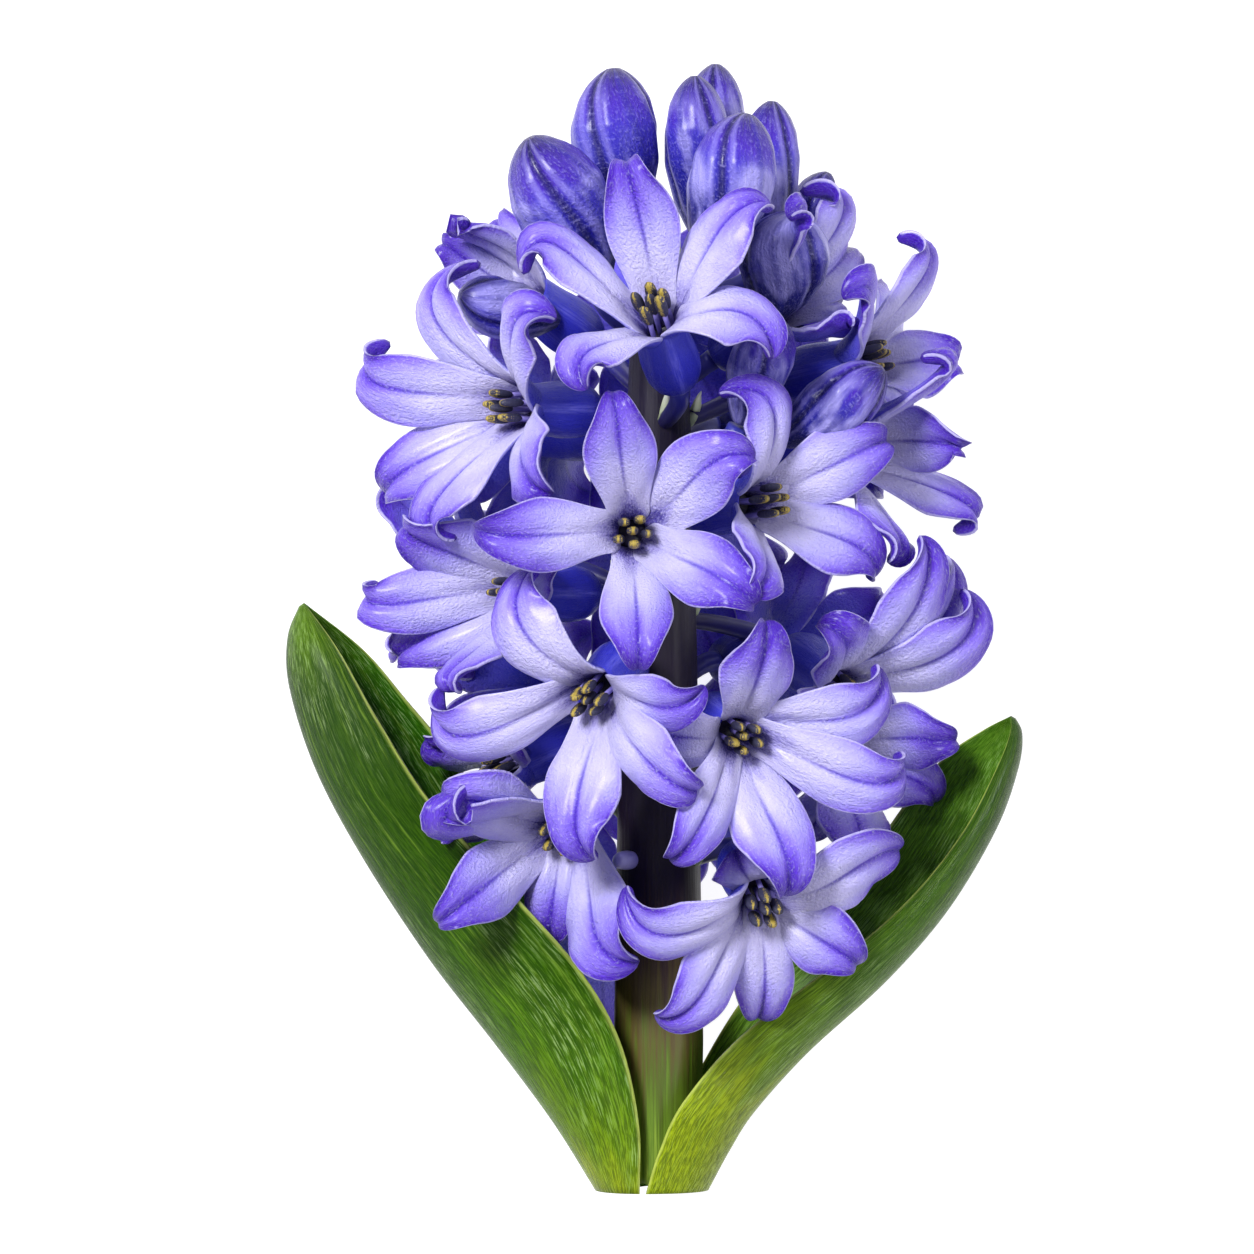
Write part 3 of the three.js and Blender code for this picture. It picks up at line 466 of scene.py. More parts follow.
# Open florets: where the throat is, which way it faces, and how high its stalk leaves the stem.
# Each petal: its tip measured from the throat, its width, how far the tip hooks back as a share
# of its length, the angle from the floret's axis at which it leaves the rim, and how far it bows
# to its left as a share of its length. A half-open floret has a heart of petals still wrapped
# like a bud: its foot, tip and width.
florets = {
    "upper_front": {
        "throat": (-0.5, 113.4, 23), "faces": (-0.22, 0.65, 0.73), "seat": 99, "petals": [
            (-3.4, 18.7, -1, 9.6, 0.3, 40, 0), (14.8, 12.7, 0, 10.5, 0.35, 40, 0.12),
            (14.5, -6.3, 5, 9.5, 0.35, 40, 0.45), (-8.4, -10.1, 7, 9, 0.35, 40, -0.5),
            (-16.5, 4.6, 1, 8.5, 0.45, 30, -0.5),
        ]},
    "centre": {
        "throat": (-3.4, 85.5, 22), "faces": (0.03, 0, 1), "seat": 82, "petals": [
            (-2.4, 17.5, 5, 9.4, 0.3, 45, 0), (15.5, 9, 5, 10.4, 0.3, 45, 0.3),
            (15.3, -9.5, 5, 9.6, 0.3, 45, 0.1), (0.8, -17.3, 5, 9.4, 0.3, 45, 0),
            (-19.8, 0.5, 3, 9.6, 0.3, 45, 0.1),
        ]},
    "lower_left_front": {
        "throat": (-8.5, 64.6, 20), "faces": (-0.35, -0.35, 0.87), "seat": 65, "petals": [
            (-6.6, 16.4, -2, 10, 0.6, 15, 0.5), (-19.3, 1.1, -5, 8.8, 0.55, 20, 0.55),
            (0.8, -20.4, 1, 11, 0.25, 40, -0.2), (13.2, -11.6, 6, 8.8, 0.6, 15, 0.2),
            (14.1, 1.6, 9, 8, 0.3, 40, -0.25),
        ]},
    "lower_right_front": {
        "throat": (10.6, 59.5, 21), "faces": (0.3, -0.2, 0.93), "seat": 57, "petals": [
            (2.7, 14.7, 5, 10, 0.35, 35, 0), (16.9, 9.2, -4, 9, 0.35, 40, -0.45),
            (19.9, -2, -5, 9, 0.5, 20, -0.4), (4.8, -20, 1, 10.6, 0.3, 40, 0.15),
            (-9.4, -15, 4, 8, 0.45, 30, 0), (-13, -0.4, -2, 9.6, 0.3, 45, -0.1),
        ]},
    "bottom_right": {
        "throat": (13.2, 38, 17), "faces": (0.2, -0.45, 0.87), "seat": 42, "petals": [
            (-17.1, 2.7, 5, 8, 0.65, 10, 0.5), (-13.7, -13.6, 1, 9, 0.35, 35, 0.2),
            (-0.5, -14.7, -9, 8, 0.3, 40, 0), (12, -7.8, -3, 9.6, 0.25, 40, 0.2),
            (17.6, 6.8, -6, 10.4, 0.3, 40, 0.3), (-3.5, 7.1, 2, 8, 0.3, 40, 0),
        ]},
    "bottom_left": {
        "throat": (-12.8, 46.8, 8.5), "faces": (-0.3, -0.4, 0.87), "seat": 48, "petals": [
            (-14.6, 2.2, 5, 9.5, 0.4, 30, -0.75), (-11.4, 6.5, 9.5, 9.5, 0.45, 30, 0.75),
            (-15.3, -11.2, 6, 9.6, 0.2, 45, -0.1), (10.4, -15.9, 7, 12, 0.2, 45, -0.25),
            (-1, -13.5, -5, 8, 0.3, 40, 0),
        ]},
    "left_low": {
        "throat": (-20.3, 54.7, 0.5), "faces": (-0.8, -0.35, 0.49), "seat": 53, "petals": [
            (-5.4, -7.2, 8, 9.6, 0.5, 25, 0.2), (-9.6, 4.4, -2, 10, 0.2, 40, 0),
            (5.5, -8.5, 2, 9.4, 0.4, 40, 0), (2.7, 6.6, 8, 8, 0.4, 35, 0),
            (-1.5, 7.2, -12, 7, 0.3, 45, 0),
        ]},
    "left_top": {
        "throat": (-19, 101.5, 13), "faces": (-0.78, 0, 0.62), "seat": 95, "petals": [
            (-15.6, 8.8, -8, 9.6, 0.55, 15, 0.5), (-3.8, 18.7, -4, 8.6, 0.6, 15, 0.65),
            (6, 10.7, 10, 9.6, 0.5, 25, 0.5), (5.6, -11, 10, 11, 0.4, 35, 0),
            (-6.7, -16.6, 0.8, 10, 0.5, 25, -0.4), (-15.5, -11, -9, 10.5, 0.3, 40, 0),
        ]},
    "left_middle": {
        "throat": (-18.8, 77.8, 11), "faces": (-0.75, 0, 0.66), "seat": 73, "petals": [
            (-13, 8.9, 0, 11, 0.35, 30, 0), (-17.1, 1.4, -5, 8.6, 0.5, 15, 0.4),
            (-14.3, -8.4, -8, 9, 0.3, 40, 0), (-6.3, -12.1, 6, 8.8, 0.5, 25, 0),
            (6.2, 3.8, 7, 8, 0.3, 45, 0),
        ]},
    "left_back": {
        "throat": (-25, 81, -8.5), "faces": (-0.93, 0, -0.37), "seat": 77, "petals": [
            (-9.6, 11.5, 6, 10.5, 0.3, 30, 0), (-9, -11, 3, 8, 0.35, 40, -0.2),
            (2, 13.5, -4, 8.6, 0.4, 40, 0), (1, -14, -5, 8.6, 0.4, 40, 0), (5, 6, -13, 8.6, 0.4, 40, 0),
            (5, -6, -13, 8.6, 0.4, 40, 0),
        ]},
    "right_middle": {
        "throat": (13.6, 89.4, 16), "faces": (0.7, 0.05, 0.71), "seat": 84, "petals": [
            (-6, 13.6, 3, 8.6, 0.7, 10, -0.55), (15.5, 7.8, -6, 9.8, 0.25, 40, 0.15),
            (13.4, -9.9, -6, 10, 0.3, 35, 0.25), (-2.4, -11.4, 11, 10.6, 0.4, 35, 0),
            (7, 1, -14, 8, 0.3, 45, 0),
        ]},
    "right": {
        "throat": (24.2, 65, 1.6), "faces": (0.5, -0.4, 0.77), "seat": 74, "petals": [
            (9.4, 20.2, 4.4, 10.6, 0.35, 30, -0.15), (13, 17.7, -3.6, 8.4, 0.4, 25, -0.2),
            (15, 13.3, -0.6, 10.4, 0.45, 15, -0.4), (-4, 8.6, 12.4, 10, 0.5, 15, -0.3),
            (-8.2, -4.5, 5, 8, 0.35, 40, 0),
        ]},
    "right_top": {
        "throat": (27.7, 108.3, 4), "faces": (0.85, 0.2, 0.48), "seat": 99, "petals": [
            (3.2, 15.6, -2, 8, 0.5, 15, -0.55), (-4.1, 6.9, 12, 9, 0.5, 20, -0.4),
            (10.2, -1.5, -6, 9.6, 0.4, 30, 0.2), (4.5, -7, -8, 7, 0.3, 45, 0),
            (1, 9.4, -15, 8, 0.3, 45, 0),
        ]},
    "right_upper": {
        "throat": (26.4, 96.4, 3), "faces": (0.9, -0.1, 0.42), "seat": 92, "petals": [
            (7.2, 11.5, 8, 7, 0.6, 15, -0.45), (12.1, -0.3, 2, 9, 0.3, 40, 0.2),
            (12, -10.4, -6, 7, 0.5, 20, 0.35), (3, -14.5, 5, 10, 0.35, 40, 0),
            (3, 5, -11, 7.4, 0.3, 45, 0),
        ]},
    "right_low": {
        "throat": (24.3, 57.6, -1), "faces": (0.62, -0.15, 0.77), "seat": 54, "petals": [
            (14.3, 1.1, 2, 9.2, 0.2, 40, 0.1), (11.6, -7.1, -3, 8.8, 0.2, 40, 0.2),
            (1.2, -15.4, 2, 11.6, 0.3, 40, 0), (-3.5, 5, 13, 8, 0.3, 45, 0),
            (-6, -11.5, -3, 9, 0.3, 45, 0),
        ]},
    "left_crown": {
        "throat": (-18, 117.4, -3), "faces": (-0.7, 0.5, 0.5), "seat": 103,
        "heart": ((-13, 113.4, -3.5), (-25.6, 116.4, 5.5), 8), "petals": [
            (-6.3, 8.5, 4, 7.4, 0.35, 30, 0.3), (-9.8, 5.9, -3, 7.4, 0.3, 30, 0),
            (-2, 9.7, -9, 8, 0.3, 40, 0), (-5.2, -4.2, -12, 8, 0.3, 40, 0),
        ]},
    "right_crown": {
        "throat": (18.3, 114.9, 8), "faces": (0.75, 0.45, 0.4), "seat": 104,
        "heart": ((14.6, 113, 7), (17.8, 126.8, 10.5), 11.5), "petals": [
            (0.1, 14.8, -3, 9, 0.6, 15, -0.85), (-1.7, 10.6, 8, 8.5, 0.35, 35, -0.5),
            (5.6, 8, -14, 8, 0.3, 40, 0), (6.3, -3, 4, 7, 0.3, 30, 0), (5, 0, -11, 7, 0.3, 40, 0),
        ]},
}

# The florets on the back, by rule: height up the stem, degrees round it from the front,
# turn of the petals, and how far the throat stands out from the stem's middle.
backFlorets = {
    "places": [
        (100, 138, 30, 25.2), (69, 137, 30, 25.3), (114, 176, 0, 22.5), (82, 178, 0, 22.5),
        (52, 168, 47, 22.6), (99, -138, 30, 24.6), (65, -138, 30, 24.6), (34, -160, 20, 22.9),
    ],
    "petalCount": 6, "reach": 16, "rise": 2.5, "form": (10, 0.4, 40, 0), "seatDrop": 4,
}


def addBackFlorets():
    for number, (height, azimuth, spin, stand) in enumerate(backFlorets["places"], 1):
        around = math.radians(azimuth)
        axis = np.array([math.sin(around), 0, math.cos(around)])
        right, up = sidesOf(axis)
        petals = []
        for i in range(backFlorets["petalCount"]):
            angle = math.radians(spin) + 2 * math.pi * i / backFlorets["petalCount"]
            tip = backFlorets["reach"] * (right * math.cos(angle) + up * math.sin(angle))
            tip = tip + axis * backFlorets["rise"]
            petals.append((*tip, *backFlorets["form"]))
        throat = axis * stand + np.array([0, height, 0])
        florets[f"back_{number}"] = {"throat": throat, "faces": axis,
                                     "seat": height - backFlorets["seatDrop"], "petals": petals}


addBackFlorets()

petalForm = {
    "rows": 36, "columns": 19, "throatRows": 6, "crowding": 1.15, "lineSteps": (12, 90),
    "layerGap": 0.35, "rootRing": 3.0, "rootBack": 1.5, "insideRing": 2.0, "insideBack": 4.6,
    "insideLead": 1.2, "insideHalf": 1.3, "handle": 0.4, "fullHook": 0.5, "rootWidth": 0.56,
    "widestAt": 0.5, "taper": 1.75, "blunt": 0.88, "tipRadius": 0.9, "tipShare": 0.65,
    "tipLift": 0.1,
    # places along the petal, how far it is cupped there, and how much of its own lilt it gets
    "cup": [(-0.3, 0.5, 0), (0, 0.34, 0), (0.25, 0, 0), (0.5, -0.2, 1), (0.72, -0.06, 1),
            (0.88, 0.45, 0), (1, 0.85, 0)],
    "lilt": 0.07, "wave": 0.06, "waves": 7, "waveStart": (0.15, 0.4), "thickness": 1.5,
    "thinning": [(-0.3, 0.6), (0, 0.95), (0.6, 0.85), (0.9, 0.8), (1, 0.7)], "edgeShare": 0.14,
    "edgeRound": (3.2, 0.6), "innerShare": 0.35, "reliefStart": (0.0, 0.25),
    "reliefEnd": (0.86, 1.0),
    # how high, how far from the middle line and how wide: rib groove, lobes, keel behind
    "ridges": [(0.5, 0, 0.11), (0.3, 0.45, 0.24), (0.25, 0, 0.2)], "dent": 0.1,
    "dentWaves": [(9, 3), (4, 5)], "sway": 0.4, "twist": 12, "twistStart": 0.3,
}


def growPetal(floret, petal, number):
    form = petalForm
    x, y, z, width, hookShare, leanAngle, bow = petal
    axis = unit(floret["faces"])
    throat = np.array(floret["throat"], float)
    reach = np.array([x, y, z], float)
    outward = unit(reach - axis * reach.dot(axis))
    side = np.cross(axis, outward)
    layer = form["layerGap"] * (number % 2)  # every other petal lies behind its neighbours
    root = throat + outward * (form["rootRing"] + layer) - axis * (form["rootBack"] + layer)
    end = throat + reach
    length = np.linalg.norm(end - root)
    lean = math.radians(leanAngle)
    leave = axis * math.cos(lean) + outward * math.sin(lean)
    rise = root + leave * length * form["handle"]
    inset = max(0, form["fullHook"] - hookShare)
    hook = end + length * (axis * hookShare - outward * inset + side * bow)
    inside = throat + outward * (form["insideRing"] + layer) - axis * form["insideBack"]
    lead = form["insideLead"]
    lowerSteps, upperSteps = form["lineSteps"]
    lower = bezier(inside, inside + axis * lead, root - leave * lead, root, lowerSteps)
    upper = bezier(root, rise, hook, end, upperSteps)
    line = np.concatenate([lower[:-1], upper])
    lowerLength, upperLength = stepsOf(lower).sum(), stepsOf(upper).sum()
    # s is 0 where the petal leaves the rim and 1 at its tip
    start = -lowerLength / upperLength
    s = np.concatenate([np.linspace(start, 0, form["throatRows"], endpoint=False),
                        1 - (1 - np.linspace(0, 1, form["rows"])[:-1]) ** form["crowding"]])
    at, way = evenly(line, (s * upperLength + lowerLength) / (upperLength + lowerLength))
    s = s[:, None]
    flare = form["rootWidth"] + (1 - form["rootWidth"]) * smooth(0, form["widestAt"], s)
    beyond = np.clip(s - form["widestAt"], 0, 1) / (1 - form["widestAt"])
    toTip = np.clip((1 - s) * upperLength / form["tipRadius"], 0, 1)
    cap = np.sqrt(toTip * (2 - toTip))
    drawn = np.clip(1 - beyond ** form["taper"], 0, 1) ** form["blunt"]
    half = np.hypot(width / 2 * flare * drawn, form["tipShare"] * form["tipRadius"] * cap)
    sunk = np.clip(-s * upperLength / lowerLength, 0, 1)
    half = half * (1 - sunk) + form["insideHalf"] * sunk
    u = np.sin(np.linspace(-math.pi / 2, math.pi / 2, form["columns"]))[None, :]
    fromRib = np.abs(u)
    lilt = either(form["lilt"])
    places, cups, ownShare = np.array(form["cup"]).T
    cup = np.interp(s, places, cups + ownShare * lilt)
    wave = form["wave"] * np.sin(form["waves"] * s * math.pi / 2 + anyPhase())
    wave = wave * smooth(*form["waveStart"], s)
    middle = half * (cup * u ** 2 + wave * fromRib ** 3)
    places, shares = np.array(form["thinning"]).T
    edge, (fall, roundness) = form["edgeShare"], form["edgeRound"]
    body = form["thickness"] * np.interp(s, places, shares)
    body = body * np.where(s > form["widestAt"], cap, 1)
    body = body * (edge + (1 - edge) * (1 - fromRib ** fall) ** roundness)
    shown = smooth(*form["reliefStart"], s) * (1 - smooth(*form["reliefEnd"], s))
    groove, lobes, keel = (height * ridge(fromRib - place, wide) * shown
                           for height, place, wide in form["ridges"])
    first, second = (np.sin(a * s + b * u + anyPhase()) for a, b in form["dentWaves"])
    dent = form["dent"] * first * second * shown
    top = middle + form["innerShare"] * body - groove + lobes + dent
    bottom = middle - (1 - form["innerShare"]) * body - keel + dent
    turn = np.radians(either(1) * form["twist"]) * smooth(form["twistStart"], 1, s)
    sway = either(1) * form["sway"] * np.sin(np.clip(s, 0, 1) * math.pi)
    normal = unitRows(np.cross(way, side))
    level = np.cross(normal, way)
    acrossWay = level * np.cos(turn) + normal * np.sin(turn)
    upWay = normal * np.cos(turn) - level * np.sin(turn)

    def lay(heights):
        return (at[:, None, :] + acrossWay[:, None, :] * (half * u + sway)[:, :, None]
                + upWay[:, None, :] * heights[:, :, None])

    rings = np.concatenate([lay(top), lay(bottom)[:, ::-1]], axis=1)
    across = np.concatenate([(u[0] + 1) / 2, (u[0, ::-1] + 1) / 2])[None, :]
    along = (s - s[0]) / (1 - s[0])
    columnLooks = ["petalInner"] * (form["columns"] - 1) + ["petalOuter"] * (form["columns"] + 1)
    tip = end + upWay[-1] * form["tipLift"]
    return makeSkin(rings, across, along, columnLooks, inside, tip, (random.random(), floret["tone"]))


tubeForm = {
    # how far back from the throat, and how thick there; the last three turn down inside
    "profile": [(13.9, 1.0), (13.5, 2.3), (12.6, 3.0), (11, 3.7), (9, 3.95), (7, 3.8), (5, 3.5),
                (3.4, 3.4), (2.3, 3.35), (1.7, 3.1), (1.9, 2.8), (3.0, 2.65), (4.6, 2.5)],
    "footBack": 14.0, "floorBack": 4.9, "sides": 36, "steps": 3, "lobes": 6, "lobeDepth": 0.05,
    "lobeStart": (12.5, 9), "lobeEnd": (0.9, 3),
}


def growTube(floret):
    form = tubeForm
    axis = unit(floret["faces"])
    right, up = sidesOf(axis)
    throat = np.array(floret["throat"], float)
    profile = np.array(form["profile"])
    last = len(profile) - 1
    knots = np.linspace(0, last, form["steps"] * last + 1)
    back, radius = (np.interp(knots, np.arange(last + 1), profile[:, k]) for k in range(2))
    radius = softened(radius)
    angle = ringAngles(form["sides"])
    crest = np.cos(form["lobes"] * angle)[None, :]
    depth = form["lobeDepth"] * smooth(*form["lobeStart"], back) * smooth(*form["lobeEnd"], back)
    wide = radius[:, None] * (1 + depth[:, None] * (crest - 1) / 2)
    around = circleOf(right, up, angle)
    rings = (throat - axis * back[:, None])[:, None, :] + around[None, :, :] * wide[:, :, None]
    return makeSkin(rings, (crest + 1) / 2, (knots / last)[:, None], ["petalTube"] * form["sides"],
                    throat - axis * form["footBack"], throat - axis * form["floorBack"],
                    (random.random(), floret["tone"]))


buds = {
    "list": [
        ((-7.5, 116.3, 7), (-16.5, 136.2, 13), 12.3),
        ((-4.4, 123.6, 2), (-5.8, 145.9, 3), 11.4),
        ((5.2, 124, 2), (4.8, 144.9, 3), 8.6),
        ((7.1, 124.7, -7), (7.6, 147.3, -8), 9),
        ((6, 120.2, 14), (11.5, 139.1, 15), 11),
        ((13.3, 121, -2), (14.9, 142, -2), 8.5),
        ((16.5, 121, -7), (22.4, 133, -7), 6),
        ((10.3, 99.4, 11), (15.7, 112.8, 15), 8),
        ((15, 97.2, 10), (28.9, 106.4, 14), 8.6),
    ],
    # how far each bud is turned about its own axis, in shares of a petal
    "turns": [0.2, 0.95, 0.4, 0.6, 0.85, 0.3, 0.5, 0.1, 0.7],
    "shares": [0, 0.04, 0.2, 0.45, 0.66, 0.82, 0.9, 0.95, 0.98, 1],
    "girths": [0.12, 0.32, 0.68, 0.98, 1.0, 0.82, 0.62, 0.43, 0.27, 0.1], "rows": 52, "sides": 84,
    "crowding": 1.4, "outerPetals": 3, "wrap": 0.5, "reliefStart": (0.04, 0.3), "crease": 0.19,
    "creasePower": 4, "overlap": 0.05, "overlapRange": (0.2, 0.7), "rib": 0.03, "ribWidth": 0.09,
    "ribHollow": (0.5, 0.3), "bend": 0.4, "seatDrop": 6, "highestSeat": 120,
}


def growBud(foot, tip, width, turn, tone, reach=1.0):
    form = buds
    foot = np.array(foot, float)
    tip = np.array(tip, float)
    axis = unit(tip - foot)
    s = (1 - (1 - np.linspace(0, 1, form["rows"] + 2)) ** form["crowding"])[1:-1]
    girth = softened(np.interp(s, form["shares"], form["girths"]))
    angle = ringAngles(form["sides"])
    # each outer petal runs from -1 to 1 across, and laps over the next one at 1
    around = angle[None, :] / (2 * math.pi) * form["outerPetals"] + turn
    spread = ((around + form["wrap"] * (s[:, None] - 0.5)) % 1) * 2 - 1
    fromRib = np.abs(spread)
    shown = smooth(*form["reliefStart"], s)[:, None]
    crease = form["crease"] * fromRib ** form["creasePower"]
    crease = crease - form["overlap"] * smooth(*form["overlapRange"], fromRib)
    hollowShare, hollowWidth = form["ribHollow"]
    rib = form["rib"] * ridge(spread, form["ribWidth"])
    rib = rib - hollowShare * form["rib"] * ridge(spread, hollowWidth)
    radius = width / 2 * girth[:, None] * (1 - shown * (crease - rib))
    bend = unit(np.cross(axis, [0, 0, 1])) * form["bend"] * np.sin(s * math.pi)[:, None] * either(1)
    rings = ((foot + (tip - foot) * s[:, None] + bend)[:, None, :]
             + circleOf(*sidesOf(axis), angle)[None] * radius[:, :, None])
    return makeSkin(rings, 0.5 + fromRib / 2, reach * s[:, None], ["budSkin"] * form["sides"],
                    foot, tip, tone)


# the petals still wrapped in a half-open floret: turn, chance value and how far up a bud's colours
heartForm = {"turn": 0.3, "tone": 0.2, "reach": 0.7}


def makeFlorets():
    looks = ["petalInner", "petalOuter", "petalTube", "budSkin"]
    for name, floret in florets.items():
        floret["tone"] = random.random()
        skins = [growPetal(floret, petal, i) for i, petal in enumerate(floret["petals"])]
        skins.append(growTube(floret))
        if "heart" in floret:
            skins.append(growBud(*floret["heart"], heartForm["turn"],
                                 (heartForm["tone"], floret["tone"]), heartForm["reach"]))
        makePiece(f"floret_{name}_bloom", skins, looks, f"floret_{name}")


makeFlorets()
print("florets made:", len(florets))

stamenForm = {
    "round": 5,
    # rings on which anthers and filament feet stand, and those of the one in the middle
    "rings": (1.7, 1.9), "middleRings": (0.15, 0.2), "spacing": 0.1, "antherLength": 3.6,
    "antherWidth": 1.6, "furrow": 0.3, "fullness": 0.7, "unevenness": 0.4, "lean": 0.5,
    "leanRange": (-0.5, 1), "filamentBack": 4.2, "filamentInside": 0.4, "filamentRadius": 0.35,
    "filamentSteps": 5, "filamentSides": 8,
    "lift": {"upper_front": 1.5, "left_top": 1.2, "lower_left_front": 1.1, "lower_right_front": 0.7,
             "bottom_right": 1.0, "right_middle": 1.1, "left_middle": 0.8, "centre": 0.4},
    "usualLift": 0.5,
}


def growBead(foot, top, width, look, tone, pinch=0.0, rows=9, sides=12, fullness=0.5):
    # a rounded body from foot to top, with a furrow down its sides
    shares = (1 - np.cos(np.linspace(0, math.pi, rows + 2)))[1:-1] / 2
    girth = np.sin(np.arccos(1 - 2 * shares)) ** fullness
    angle = ringAngles(sides)
    furrow = 1 - pinch * (1 - np.cos(2 * angle)) / 2
    rings = ((foot + (top - foot) * shares[:, None])[:, None, :]
             + circleOf(*sidesOf(unit(top - foot)), angle, furrow)[None, :, :]
             * (girth * width / 2)[:, None, None])
    across = (np.cos(angle) + 1)[None, :] / 2
    return makeSkin(rings, across, shares[:, None], [look] * sides, foot, top, tone)


def growRod(line, radii, sides, look, tone):
    shares = np.linspace(0, 1, len(line))
    at, way = evenly(line, shares)
    angle = ringAngles(sides)
    rings = [place + radius * circleOf(*sidesOf(direction), angle)
             for place, direction, radius in zip(at, way, radii)]
    across = (np.cos(angle) + 1)[None, :] / 2
    return makeSkin(np.array(rings), across, shares[:, None], [look] * sides, at[0], at[-1], tone)


def makeStamens():
    form = stamenForm
    for name, floret in florets.items():
        if "heart" in floret:  # half open, so its stamens don't show
            continue
        axis = unit(floret["faces"])
        right, up = sidesOf(axis)
        throat = np.array(floret["throat"], float)
        high = form["lift"].get(name, form["usualLift"])
        turn = anyPhase()
        skins = []
        for i in range(form["round"] + 1):
            ring, footRing = form["middleRings"] if i == form["round"] else form["rings"]
            angle = 2 * math.pi * (i + either(form["spacing"])) / form["round"] + turn
            out = right * math.cos(angle) + up * math.sin(angle)
            lift = high + either(form["unevenness"])
            foot = throat + out * ring + axis * (lift - form["antherLength"] / 2)
            lean = out * random.uniform(*form["leanRange"]) * form["lean"]
            top = foot + axis * form["antherLength"] + lean
            tone = (random.random(), floret["tone"])
            skins.append(growBead(foot, top, form["antherWidth"], "anther", tone,
                                  pinch=form["furrow"], fullness=form["fullness"]))
            root = throat + out * footRing - axis * form["filamentBack"]
            line = np.linspace(root, foot + axis * form["filamentInside"], form["filamentSteps"])
            radii = [form["filamentRadius"]] * form["filamentSteps"]
            skins.append(growRod(line, radii, form["filamentSides"], "filament", tone))
        makePiece(f"stamens_{name}_cluster", skins, ["anther", "filament"], f"stamens_{name}")


makeStamens()
print("stamens made")


def makeBuds():
    for number, ((foot, tip, width), turn) in enumerate(zip(buds["list"], buds["turns"]), 1):
        skin = growBud(foot, tip, width, turn, anyTone())
        makePiece(f"bud_{number}_petals", [skin], ["budSkin"], f"bud_{number}")


makeBuds()
print("buds made:", len(buds["list"]))

# At each station: the keel, the near margin and the far margin of the channel.
leaves = {
    "leaf_left": {
        "stations": [
            ((-7.5, 0.3, -0.5), (-2.4, 0.3, 6.7), (-1.2, 0.3, -6.7)),
            ((-12.8, 8.7, -0.5), (-2.5, 9.4, 7.3), (-3.5, 9, -7.4)),
            ((-20.2, 18.7, 0), (-4.9, 20, 8), (-6, 17, -8)),
            ((-29.4, 30.5, 0), (-10.2, 29.5, 8.5), (-12, 29, -8)),
            ((-37.8, 43.5, 0), (-19.5, 40, 8.5), (-19, 44, -7.5)),
            ((-43.9, 55, 0), (-29.4, 51, 8), (-27, 56.5, -7)),
            ((-47.4, 65.5, 0), (-36.2, 61.5, 6.5), (-33, 64, -6)),
            ((-47.7, 72, 0), (-41.4, 70.5, 4), (-38.5, 70.5, -4.5)),
        ],
        "tip": (-46, 76.6, 0),
        "paintedLight": 0.0,
    },
    "leaf_right": {
        "stations": [
            ((5.9, 0.3, -0.5), (-1.6, 0.3, 6.8), (0.4, 0.3, -6.8)),
            ((8.7, 5.5, -0.4), (0, 5.5, 7.2), (2, 6.5, -7.2)),
            ((12, 10.7, -0.3), (3.2, 12.2, 7.8), (4.5, 13.5, -7.6)),
            ((19, 18.5, 0), (11, 21, 7.8), (11, 24.5, -7.5)),
            ((29.1, 27.6, 0), (24.3, 31.2, 7), (19.5, 34, -7)),
            ((37.1, 36.7, 0), (33, 39, 6.5), (26.5, 42, -7)),
            ((43.4, 47.1, 0), (39.5, 47.2, 5.5), (32.5, 50.5, -6.5)),
            ((46.3, 54.9, 0), (43.7, 55, 4), (37.5, 56.5, -5)),
            ((46.9, 59.5, 0), (45.6, 59.5, 2), (42.4, 60, -2.5)),
        ],
        "tip": (45.9, 61.9, 0),
        # painted light: this leaf's colours are lifted lighter, as if it were lit
        "paintedLight": 1.0,
    },
}
leafForm = {
    "rows": 84, "columns": 33, "crowding": 1.2, "lastShare": 0.985, "thickness": 1.3,
    "thinning": 0.3, "rimShare": 0.55, "rimPower": 8,
}


def curveThrough(points, shares):
    # a smooth line through the points, with an even share of it between each two
    points = np.array(points, float)
    padded = np.concatenate([[2 * points[0] - points[1]], points, [2 * points[-1] - points[-2]]])
    span = np.clip(shares, 0, 1) * (len(points) - 1)
    index = np.minimum(span.astype(int), len(points) - 2)
    t = (span - index)[:, None]
    a, b, c, d = (padded[index + k] for k in range(4))
    return 0.5 * (2 * b + (c - a) * t + (2 * a - 5 * b + 4 * c - d) * t ** 2
                  + (3 * b - a - 3 * c + d) * t ** 3)


def growLeaf(leaf):
    form = leafForm
    tip = leaf["tip"]
    t = (1 - (1 - np.linspace(0, 1, form["rows"])) ** form["crowding"]) * form["lastShare"]
    keel, near, far = (curveThrough([station[k] for station in leaf["stations"]] + [tip], t)
                       for k in range(3))
    opening = unitRows((near + far) / 2 - keel)
    angle = np.linspace(-math.pi / 2, math.pi / 2, form["columns"])
    top, bottom = [], []
    for a in angle:
        span = (near if a < 0 else far) - keel
        depth = np.sum(span * opening, axis=1)[:, None]
        reach = span - opening * depth
        at = keel + opening * depth * (1 - math.cos(a)) + reach * abs(math.sin(a))
        normal = opening * math.cos(a) - unitRows(reach) * abs(math.sin(a))
        rim = form["rimShare"] + (1 - form["rimShare"]) * (1 - abs(math.sin(a)) ** form["rimPower"])
        half = form["thickness"] / 2 * (1 - form["thinning"] * t)[:, None] * rim
        top.append(at + normal * half)
        bottom.append(at - normal * half)
    rings = np.stack(top + bottom[::-1], axis=1)
    u = angle / math.pi + 0.5
    across = np.concatenate([u, u[::-1]])[None, :]
    columnLooks = ["leafInner"] * (form["columns"] - 1) + ["leafOuter"] * (form["columns"] + 1)
    foot = rings[0].mean(axis=0)
    return makeSkin(rings, across, t[:, None], columnLooks, foot, tip, (leaf["paintedLight"], random.random()))


